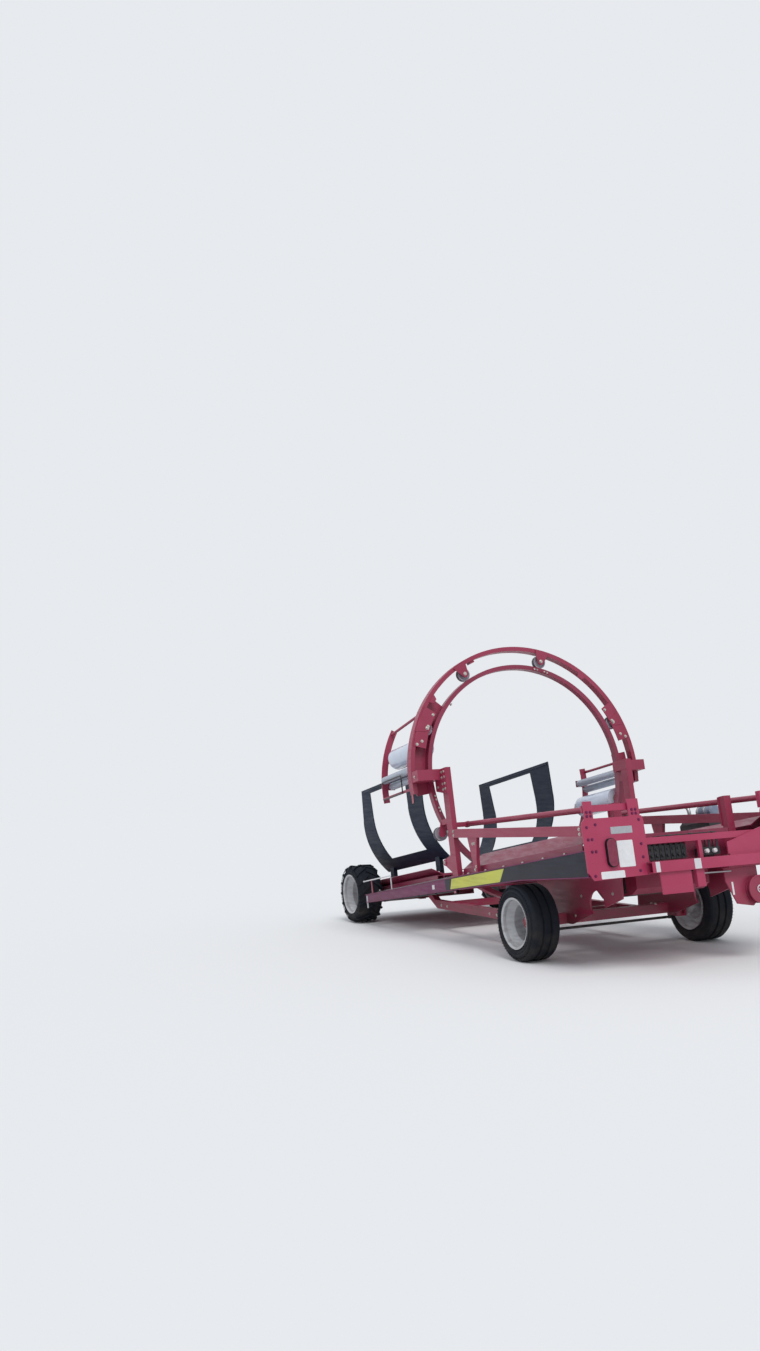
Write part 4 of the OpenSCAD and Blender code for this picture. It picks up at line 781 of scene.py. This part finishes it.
# floor bolts, set in rows along the ribs
floorTrim = dict(
    rows=6, size=(0.009, 0.003, 0.012),  # node: half width, first u, step, count
    decks={"front_deck": (0.497, 3.02, 0.29, 10), "rear_deck": (0.65, -0.33, 0.30, 8)})
spots = []
for i in range(floorTrim["rows"]):
    for node, (half, first, step, count) in floorTrim["decks"].items():
        y = -half + 2 * half * i / (floorTrim["rows"] - 1)
        spots += [(node, onDeck(first + step * k, y, 0.3), downward) for k in range(count)]
addBolts("floorBolts", boltSpots(spots), size=floorTrim["size"], finish="deckRed")

# welds: on both sides at the hoop posts' feet and heads, the front beam and the deck; along the lower beam
weldTrim = dict(
    size=0.0045, railX=(1.60, 2.40, 3.20), railYZ=(0.6205, 0.3565), railRun=0.12,
    bothSides=[((3.128, 1.2085, 0.0165), (3.252, 1.2085, 0.0165)),
               ((3.255, 1.209, 0.0165), (3.255, 1.153, 0.0165)),
               ((3.125, 1.205, 0.0165), (3.125, 1.153, 0.0165)),
               ((2.990, 1.2125, 0.959), (3.252, 1.2125, 0.899)),
               ((5.8305, 1.12, 0.0), (5.8305, 0.85, 0.0)),
               ((3.02, 1.1305, 0.0665), (4.00, 1.1305, 0.0665))],
    lowerBeam=[((5.8475, -0.578, -0.1555), (5.8475, 0.798, -0.1555)),
               ((5.8475, -0.582, -0.16), (5.8475, -0.582, -0.255)),
               ((5.8475, 0.345, -0.143), (5.8475, 0.790, -0.143))])
t = weldTrim
routes, (y, z) = [], t["railYZ"]
for s in (-1, 1):
    routes += [[onDeck(u, s * v, w) for u, v, w in run] for run in t["bothSides"]]
    routes += [[(x - mid, s * y, z), (x + t["railRun"] - mid, s * y, z)] for x in t["railX"]]
routes += [[onDeck(*p) for p in run] for run in t["lowerBeam"]]
beads = growMesh("frameWelds", weldBead, routeMesh("frameWelds", routes), "weldGrey", Size=t["size"],
                 Pitch=t["size"] * 1.5)
addPiece("frameWelds", beads, "weldGrey", smooth=60)
print("bolts and welds made")

# turning ring: splice plates with their bolts, knob inside the ring
ringTrim = dict(
    face=0.040, inner=1.239, outer=1.268, thick=0.004, half=5.0, steps=8,
    splices=(16, 136, 256), boltR=1.254, boltsAt=(-4, -2.2, 2.2, 4),
    boltSize=(0.008, 0.005, 0.011), knob=-46.7, knobR=1.234,
    knobShape=[(0, -0.001), (0.020, -0.001), (0.020, 0.006), (0.010, 0.009), (0.010, 0.018),
               (0.017, 0.021), (0.017, 0.029), (0.013, 0.032), (0, 0.032)])
t = ringTrim
bm, places, face = bmesh.new(), [], t["face"] + t["thick"]
for centre in t["splices"]:
    arc = [t["half"] * (2 * k / t["steps"] - 1) for k in range(t["steps"] + 1)]
    arc = [(t["inner"], centre + a) for a in arc] + [(t["outer"], centre - a) for a in arc]
    arc = [(r * sin(radians(a)), r * cos(radians(a))) for r, a in arc]
    addPrism(bm, arc, t["face"] - 0.001, face, aroundHoop(0) @ alongX)
    places += [(aroundHoop(centre + d) @ Vector((face, 0, t["boltR"])), forward) for d in t["boltsAt"]]
addPiece("ringSplices", bm, "ringRed", "hoop")
addBolts("ringBolts", places, "hoop", t["boltSize"])
knobAt = aroundHoop(t["knob"]) @ shift(0, 0, t["knobR"]) @ turn(90, "Y")
addPiece("ringKnob", lathed(t["knobShape"], 24, knobAt), "boltZinc", "hoop", bevel=0.001)

# guide rollers: grooved treads
r, h = rollerTrim["tread"], rollerTrim["half"]
profile = [(r - 0.012, -h - 0.0005), (r - 0.003, -h - 0.0005), (r, -h + 0.003)]
for x in rollerTrim["grooves"]:
    profile += [(r, x - 0.0025), (r - 0.0025, x - 0.001), (r - 0.0025, x + 0.001), (r, x + 0.0025)]
profile += [(r, h - 0.003), (r - 0.003, h + 0.0005), (r - 0.012, h + 0.0005)]
for k, angle in enumerate(rollerTrim["angles"]):
    at = aroundHoop(angle) @ shift(0, 0, rollerTrim["orbit"])
    addPiece("rollerTread%d" % k, lathed(profile, 48, closed=True), "rollerDark", smooth=35, at=at)

# hoop motor: cooling ribs round its case, port block
motorTrim = dict(
    ribs=22, rib=[(0.082, -0.0022, 0.048), (0.158, 0.0022, 0.054)], ports=(-0.020, 0.020),
    port=[(0, 0.165), (0.012, 0.165), (0.012, 0.176), (0.009, 0.178), (0.009, 0.190),
          (0, 0.190)])
t, motorAt = motorTrim, aroundHoop(rollerTrim["onPosts"]) @ shift(0, 0, rollerTrim["orbit"])
addRepeat("motorRibs", boxed(*t["rib"]), ribRing, motorAt, "cylinderBlack", Count=t["ribs"])
bm = bmesh.new()
for y in t["ports"]:
    addLathe(bm, t["port"], 6, shift(0, y, 0))
addPiece("motorPorts", bm, "boltZinc", at=motorAt)
print("hoop dressed")

# film dispensers: rolls with wound edges, cores, bearings, bolts, roller lands, guard loop
filmTrim = dict(
    orbit=1.290, rear=2.076, front=2.826, radius=0.125, core=0.050, coreIn=0.0388, coreOut=0.0083,
    layers=14, steps=36, uneven=0.0010, skin=0.0006, layerStep=0.0014)
dispenserTrim = dict(
    angles={"a": -74, "b": 106}, rearFace=1.932, plateRear=2.864,
    rollers=((11, 1.395), (14, 1.300)), landsFrom=1.962, lands=52, landPitch=0.0172,
    landR=0.042, ringBolts=(-21, -14, -7, 7, 14, 21), ringBoltR=1.258,
    boltSize=(0.007, 0.005, 0.009), loop=(1.94, 2.56), loopArc=(12.5, 20.5),
    loopIn=1.410, loopOut=1.449, loopR=0.008)


def filmProfile():  # wound layers on the ends, a touch uneven along the roll
    t = filmTrim
    random.seed(5)
    rear, front, inner = t["rear"], t["front"], t["core"] + 0.002
    layers = []
    for k in range(t["layers"]):
        r = t["core"] + 0.004 + (t["radius"] - t["core"] - 0.006) * k / (t["layers"] - 1)
        layers += [(r + wide, t["skin"] + t["layerStep"] * (k % 2)) for wide in (0, 0.002)]
    profile = [(inner, rear - t["skin"])] + [(r, rear - out) for r, out in layers]
    for k in range(t["steps"] + 1):
        wound = t["radius"] + t["skin"] + t["uneven"] * random.random()
        profile.append((wound, rear + (front - rear) * k / t["steps"]))
    return profile + [(r, front + out) for r, out in reversed(layers)] + [(inner, front + t["skin"])]


t = dispenserTrim
bearingsAt = ((0, filmTrim["orbit"]), *t["rollers"])
for key, angle in t["angles"].items():
    flat = aroundHoop(angle) @ shift(-deckFrame["hoopU"], 0, 0)  # x is the place along the deck
    roll = flat @ shift(0, 0, filmTrim["orbit"])
    cores, bearings, loop = (bmesh.new() for _ in range(3))
    skin = lathed(filmProfile(), 64, closed=True)
    addPiece("filmSkin_" + key, skin, "filmWhite", "hoop", smooth=20, at=roll)
    outer, inner = filmTrim["core"] + 0.0004, filmTrim["coreIn"]
    for u, s in ((filmTrim["rear"], -1), (filmTrim["front"], 1)):
        rim = u + s * filmTrim["coreOut"]
        root = u - s * 0.001
        addLathe(cores, [(outer, root), (outer, rim), (inner, rim), (inner, root)], 40, closed=True)
    addPiece("filmCore_" + key, cores, "coreBrown", "hoop", at=roll)
    face, places = t["rearFace"], []
    for within in t["ringBolts"]:  # sector plate to ring
        places.append((flat @ turn(within) @ Vector((t["plateRear"], 0, t["ringBoltR"])), rearward))
    for within, radius in bearingsAt:
        r, reach = (0.040, 0.032) if within == 0 else (0.030, 0.0235)
        addLathe(bearings, [(0, face - 0.024), (r * 0.45, face - 0.024), (r * 0.62, face - 0.018),
                            (r * 0.70, face - 0.008), (r, face - 0.006), (r, face + 0.001),
                            (0, face + 0.001)], 32, turn(within) @ shift(0, 0, radius))
        for a in (45, 135, 225, 315):
            place = Vector((face - 0.006, reach * cos(radians(a)), radius + reach * sin(radians(a))))
            places.append((flat @ turn(within) @ place, rearward))
    addPiece("bearings_" + key, bearings, "cylinderBlack", "hoop", at=flat)
    for k, (within, radius) in enumerate(t["rollers"]):  # raised lands of a stretch roller
        r = t["landR"]
        land = lathed([(r - 0.003, -0.0075), (r + 0.0008, -0.0065), (r + 0.0014, 0), (r + 0.0008, 0.0065),
                       (r - 0.003, 0.0075)], 28, closed=True)
        at = flat @ turn(within) @ shift(t["landsFrom"], 0, radius)
        addRepeat("rollerLands%d_%s" % (k, key), land, shapeRow, at, "stretchGrey", "hoop", smooth=40,
                  Count=t["lands"], Step=(t["landPitch"], 0, 0))
    addBolts("dispenserBolts_" + key, places, "hoop", t["boltSize"])
    (a, b), (low, high), near, far = t["loop"], t["loopArc"], t["loopIn"], t["loopOut"]
    corners = ((a, high, near), (a + 0.05, high, far), (b, high, far), (b, low, far), (a + 0.05, low, far),
               (a, low, near))  # bent guard bar outside the stretch rollers
    corners = [flat @ turn(within) @ Vector((u, 0, radius)) for u, within, radius in corners]
    addTube(loop, filleted(corners, 0.03, 6), t["loopR"])
    addPiece("guardLoop_" + key, loop, "pipeBlack", "hoop", smooth=50)
print("dispensers dressed")

# bale guides: rail along the top edge, reflector strip that follows the sheet
guideTrim = dict(
    top=1.366, railAt=(0.03, 0.6, 1.2, 1.90), rail=0.012, strip=(1.628, 1.678),
    stripW=(1.00, 1.28), stripSteps=8)
t = guideTrim
for side, s in (("near", -1), ("far", 1)):
    node, inward = "guide_" + side, Vector((0, -s, 0))
    y = hitOn(node, onDeck(0.10, s * 1.5, t["top"]), inward)[0].y
    bm = bmesh.new()
    addTube(bm, [onDeck(u, y - s * 0.005, t["top"] + 0.001) for u in t["railAt"]], t["rail"], 14)
    addPiece("guideRail_" + side, bm, "satinBlack", smooth=50)
    low, high = t["stripW"]
    rings = []
    for k in range(t["stripSteps"] + 1):
        w = low + (high - low) * k / t["stripSteps"]
        a, b = (hitOn(node, onDeck(u, s * 1.5, w), inward)[0] for u in t["strip"])
        rings.append([p - out * inward for p, out in ((a, 0.003), (b, 0.003), (b, -0.001), (a, -0.001))])
    bm = bmesh.new()
    addSkin(bm, rings, caps=True)
    addPiece("guideStrip_" + side, bm, "tapeRed")
print("guides dressed")

# power unit: door strips, latches, slats, exhaust with its clamp, filter bands and ribs
engineTrim = dict(
    u=(3.980, 4.500), side=1.456, low=-0.050, doorTop=0.255, latches=(4.080, 4.370), slats=6,
    slat=[(0, 0), (0.010, -0.004), (0.010, -0.006), (0, -0.003)], slatLong=0.372,
    slatPitch=0.032, slatAt=(4.054, 1.447, 0.034), stack=(4.040, 1.341, 0.393), stackR=0.021,
    stackBends=[(0, 0, 0), (0, 0, 0.05), (-0.02, 0, 0.10), (-0.07, 0, 0.125)],
    clamp=[(0.0245, 0), (0.030, 0.002), (0.030, 0.012), (0.0245, 0.014)],
    filterAt=(4.360, 1.341, 0.405), filterR=0.075, bands=2, bandPitch=0.118, filterRibs=26)
t = engineTrim
bm, (u0, u1), side, low = bmesh.new(), t["u"], t["side"], t["low"]
for u in (u0 + 0.012, u1 - 0.020):
    addBox(bm, (u, side - 0.001, low), (u + 0.008, side + 0.003, t["doorTop"]), deckM)
addBox(bm, (u0 + 0.012, side - 0.001, low), (u1 - 0.012, side + 0.003, low + 0.008), deckM)
addPiece("bonnetTrim", bm, "engineBlack", bevel=0.001)
bm = bmesh.new()
for u in t["latches"]:
    m = deckAt(u, side, low + 0.035)
    addBox(bm, (-0.014, -0.001, -0.022), (0.014, 0.005, 0.022), m)
    addBox(bm, (-0.008, 0.005, -0.018), (0.008, 0.010, 0.010), m)
addPiece("bonnetLatches", bm, "boltZinc", bevel=0.0015)
bm = bmesh.new()
addPrism(bm, t["slat"], 0.0, t["slatLong"], alongX)
addRepeat("bonnetSlats", bm, shapeRow, deckAt(*t["slatAt"]), "engineBlack", smooth=0, Count=t["slats"],
          Step=(0, 0, t["slatPitch"]))
bm, base = bmesh.new(), Vector(t["stack"])
addTube(bm, filleted([deckM @ (base + Vector(p)) for p in t["stackBends"]], 0.05, 6), t["stackR"], 20)
addLathe(bm, t["clamp"], 28, deckAt(*(base - Vector((0, 0, 0.005)))) @ turn(-90, "Y"), True)
addPiece("exhaustPipe", bm, "pipeSteel", smooth=40)
r, filterAt = t["filterR"], deckAt(*t["filterAt"])
band = [(r - 0.002, -0.007), (r + 0.003, -0.006), (r + 0.003, 0.006), (r - 0.002, 0.007)]
addRepeat("filterBands", lathed(band, 40, closed=True), shapeRow, filterAt @ shift(-0.082, 0, 0),
          "boltZinc", smooth=40, Count=t["bands"], Step=(t["bandPitch"], 0, 0))
rib = boxed((-0.020, -0.0025, r - 0.006), (0.030, 0.0025, r + 0.0025))
addRepeat("filterRibs", rib, ribRing, filterAt @ shift(-0.030, 0, 0), "filterGrey", Count=t["filterRibs"])

# oil tank under the deck: straps and cap
tankTrim = dict(
    half=0.420, low=-0.420, strapTop=-0.170, straps=(4.88, 5.20), strapHalf=0.02,
    neck=(4.850, 0.250, -0.124), cap=[(0, 0), (0.047, 0), (0.049, 0.004), (0.049, 0.018),
                                      (0.044, 0.023), (0.020, 0.025), (0, 0.025)])
t = tankTrim
bm, half, low, wide = bmesh.new(), t["half"], t["low"], t["strapHalf"]
for u in t["straps"]:
    for s in (-1, 1):
        a, b = sorted((s * (half - 0.001), s * (half + 0.004)))
        addBox(bm, (u - wide, a, low + 0.02), (u + wide, b, t["strapTop"]), deckM)
    addBox(bm, (u - wide, -half - 0.004, low - 0.004), (u + wide, half + 0.004, low + 0.001), deckM)
addPiece("tankStraps", bm, "cylinderBlack", bevel=0.001)
cap = lathed(t["cap"], 32, deckAt(*t["neck"]) @ turn(-90, "Y"))
addPiece("tankCap", cap, "pipeBlack", bevel=0.001)
print("power unit and tank dressed")

# push cylinders: gland rings, end caps, ports; gate: pad strips and bolts
pushTrim = dict(
    y=1.065, w=-0.010, r=0.036, rear=0.650, front=3.000, posts=0.640, postTop=0.434, padU=5.498,
    gland=[(0.0225, 0), (0.034, 0), (0.034, 0.004), (0.029, 0.008), (0.0245, 0.009),
           (0.0225, 0.006)],
    cap=[(0, 0), (0.034, 0), (0.034, -0.004), (0.028, -0.008), (0, -0.009)],
    port=[(0, 0), (0.013, 0), (0.013, 0.012), (0.009, 0.014), (0.009, 0.022), (0, 0.022)],
    padHalf=0.046, padLow=0.160, boltW=(0.19, 0.29, 0.39), boltSize=(0.008, 0.003, 0.011))
t = pushTrim
glands, ports, pads, places = bmesh.new(), bmesh.new(), bmesh.new(), []
for s in (-1, 1):
    y, post = s * t["y"], s * t["posts"]
    addLathe(glands, t["gland"], 32, deckAt(t["front"] - 0.001, y, t["w"]), True)
    addLathe(glands, t["cap"], 32, deckAt(t["rear"] + 0.001, y, t["w"]))
    for u in (t["rear"] + 0.03, t["front"] - 0.03):
        addLathe(ports, t["port"], 6, deckAt(u, y, t["w"] + t["r"] - 0.004) @ turn(-90, "Y"))
    addBox(pads, (t["padU"] - 0.010, post - t["padHalf"], t["padLow"]),
           (t["padU"] + 0.001, post + t["padHalf"], t["postTop"] - 0.012), deckM)
    places += [(onDeck(t["padU"] - 0.0105, post + d, w), rearward)
               for d in (-0.028, 0.028) for w in t["boltW"]]
addPiece("cylinderGlands", glands, "boltZinc")
addPiece("cylinderPorts", ports, "boltZinc")
addPiece("gatePads", pads, "sealBlack", "pusher", bevel=0.003)
addBolts("gateBolts", places, "pusher", t["boltSize"])

# pipes clamped under the side beams and to the hoop's far post
pipeTrim = dict(
    beamY=(1.163, 1.181), beamU=(2.0, 2.6, 3.05), beamR=0.0065, postU=(3.150, 3.172), postR=0.0062)
t = pipeTrim
routes = []
for s in (-1, 1):
    for k, y in enumerate(t["beamY"]):
        routes.append([onDeck(u, s * y, -beamDepth(u) - 0.0085) for u in (1.05 + 0.12 * k, *t["beamU"])])
addPipes("beamPipes", routes, t["beamR"], spacing=0.42, bend=0.03)
routes = [[onDeck(u, 1.2165, w) for w in (0.03, 0.560)] for u in t["postU"]]
addPipes("postPipes", routes, t["postR"], spacing=0.16, bend=0.03, finish="pipeSteel")
print("pipes made")

# steering and front axle: kingpin nuts, bolts
axleTrim = dict(
    x=4.396, kingpinY=0.760, kingpinSize=(0.022, 0.012, 0.030), boltsX=(-0.035, 0.035),
    boltsY=(-0.46, 0.46), boltSize=(0.013, 0.009, 0.018))
t = axleTrim
for side, s in (("near", -1), ("far", 1)):
    node = "knuckle_" + side
    spots = [(node, (t["x"] - mid, s * t["kingpinY"], 1.2), (0, 0, -1))]
    addBolts("kingpinNut_" + side, boltSpots(spots), node, t["kingpinSize"])
spots = [("front_axle", (t["x"] - mid + x, y, 1.2), (0, 0, -1)) for x in t["boltsX"] for y in t["boltsY"]]
addBolts("axleBolts", boltSpots(spots), size=t["boltSize"])

# wheels: nuts, stepped hubs, rings on the sidewalls, shoulder ribs, valves
wheelTrim = dict(
    z=0.376, nutCount=8, nutRing=0.084, nutFace=1.0275, nutSize=(0.012, 0.014, 0.0155), ribs=64,
    hub=[(0, 1.090), (0.022, 1.089), (0.031, 1.083), (0.033, 1.069), (0.058, 1.067),
         (0.064, 1.062), (0.064, 1.030), (0.072, 1.0285), (0.103, 1.0285), (0.103, 1.022),
         (0, 1.022)],
    capRing=[(0.034, 1.0675), (0.040, 1.0675), (0.040, 1.0715), (0.034, 1.0715)],
    beads=[(0.292, 1.2063), (0.300, 1.2070), (0.3345, 1.2052)],  # radius, place on the wall
    rib=[(1.1985, -0.0018, 0.336), (1.2068, 0.0018, 0.352)], valveR=0.0045,
    valve=[(1.06, 0.192), (1.085, 0.200), (1.115, 0.196)])
t = wheelTrim
for wheel in wheelNames:
    body, s = "wheel_" + wheel, 1 if "far" in wheel else -1
    m = shift((axleTrim["x"] if "front" in wheel else 0.0) - mid, 0, t["z"])
    outward = m @ turn(90 * s, "Z")
    places, r = [], t["nutRing"]
    for k in range(t["nutCount"]):
        a = 2 * pi * k / t["nutCount"]
        places.append((m @ Vector((r * cos(a), s * t["nutFace"], r * sin(a))), Vector((0, s, 0))))
    addBolts("wheelNuts_" + wheel, places, body, t["nutSize"])
    addPiece("hub_" + wheel, lathed(t["hub"], 40), "hubRed", body, smooth=35, at=outward)
    addPiece("capRing_" + wheel, lathed(t["capRing"], closed=True), "boltZinc", body, at=outward)
    beads, valve = bmesh.new(), bmesh.new()
    for r, y in t["beads"]:
        addLathe(beads, [(r - 0.0025, y - 0.003), (r - 0.0008, y + 0.0022), (r + 0.0008, y + 0.0022),
                         (r + 0.0025, y - 0.003)], 96, closed=True)
    addPiece("wallBeads_" + wheel, beads, "tyreRubber", body, smooth=40, at=outward)
    addRepeat("shoulderRibs_" + wheel, boxed(*t["rib"]), ribRing, outward, "tyreRubber", body, smooth=0,
              Count=t["ribs"])
    addTube(valve, filleted([m @ Vector((0.0, s * y, z)) for y, z in t["valve"]], 0.01), t["valveR"], 8)
    addPiece("valve_" + wheel, valve, "sealBlack", body)
print("wheels dressed")

# stage: floor, world, two suns, camera
stageLook = dict(
    floorColour=(0.80, 0.81, 0.815), floorHalf=90, skyColour=(0.800, 0.823, 0.855),
    ambient=(0.90, 0.94, 1.0), worldStrength=0.62,
    suns=[("keySoft", (-0.75, 0.12, -1.0), 1.45, 28, (1.0, 0.97, 0.95)),
          ("fillSoft", (0.5, 0.7, -0.6), 0.45, 40, (0.92, 0.95, 1.0))])
floorMesh = bpy.data.meshes.new("floor")
far = stageLook["floorHalf"]
floorMesh.from_pydata([(x, y, 0) for x, y in rect((-far, far), (-far, far))], [], [(0, 1, 2, 3)])
floor = bpy.data.objects.new("floor", floorMesh)
intoScene(floor)
mat, tree, bsdf = newMaterial("floorPale")
setInputs(tree, bsdf, {"Base Color": (*stageLook["floorColour"], 1), "Roughness": 0.9,
                       "Specular IOR Level": 0.0})
floorMesh.materials.append(mat)

# the sky lights the object, but camera, mirror and glass rays see a pale tone close to the floor's
world = bpy.data.worlds.new("studio")
bpy.context.scene.world = world
world.use_nodes = True
tree = world.node_tree
tree.nodes.clear()
path = addNode(tree, "ShaderNodeLightPath").outputs
seen = path["Is Camera Ray"]
for ray in ("Is Glossy Ray", "Is Transmission Ray"):
    seen = addNode(tree, "ShaderNodeMath", {0: seen, 1: path[ray]}, operation="MAXIMUM").outputs[0]
light = addNode(tree, "ShaderNodeBackground", {0: (*stageLook["ambient"], 1), 1: stageLook["worldStrength"]})
tone = addNode(tree, "ShaderNodeBackground", {0: (*stageLook["skyColour"], 1), 1: 1.0})
mix = addNode(tree, "ShaderNodeMixShader", {0: seen, 1: light.outputs[0], 2: tone.outputs[0]})
addNode(tree, "ShaderNodeOutputWorld", {0: mix.outputs[0]})

for name, way, strength, spread, colour in stageLook["suns"]:
    sun = bpy.data.lights.new(name, "SUN")
    sun.energy, sun.angle, sun.color = strength, radians(spread), colour
    lamp = bpy.data.objects.new(name, sun)
    lamp.rotation_euler = Vector(way).to_track_quat("-Z", "Y").to_euler()
    intoScene(lamp)

cameraFit = dict(at=(12.4412, -7.1325, 1.8675), yaw=156.740, pitch=4.862, roll=-2.917, lens=32.402, far=200)
yaw, pitch, roll = (radians(cameraFit[k]) for k in ("yaw", "pitch", "roll"))
ahead = Vector((cos(pitch) * cos(yaw), cos(pitch) * sin(yaw), sin(pitch)))
right = Vector((sin(yaw), -cos(yaw), 0))
up = right.cross(ahead)
rolled = (cos(roll) * right + sin(roll) * up, cos(roll) * up - sin(roll) * right, -ahead)
camData = bpy.data.cameras.new("camera")
camData.sensor_width, camData.sensor_fit = 36.0, "AUTO"
camData.lens, camData.clip_end = cameraFit["lens"], cameraFit["far"]
cam = bpy.data.objects.new("camera", camData)
cam.matrix_world = Matrix.Translation(cameraFit["at"]) @ Matrix(rolled).transposed().to_4x4()
intoScene(cam)
bpy.context.scene.camera = cam
bpy.context.scene.view_settings.view_transform = "Standard"
print("stage made")
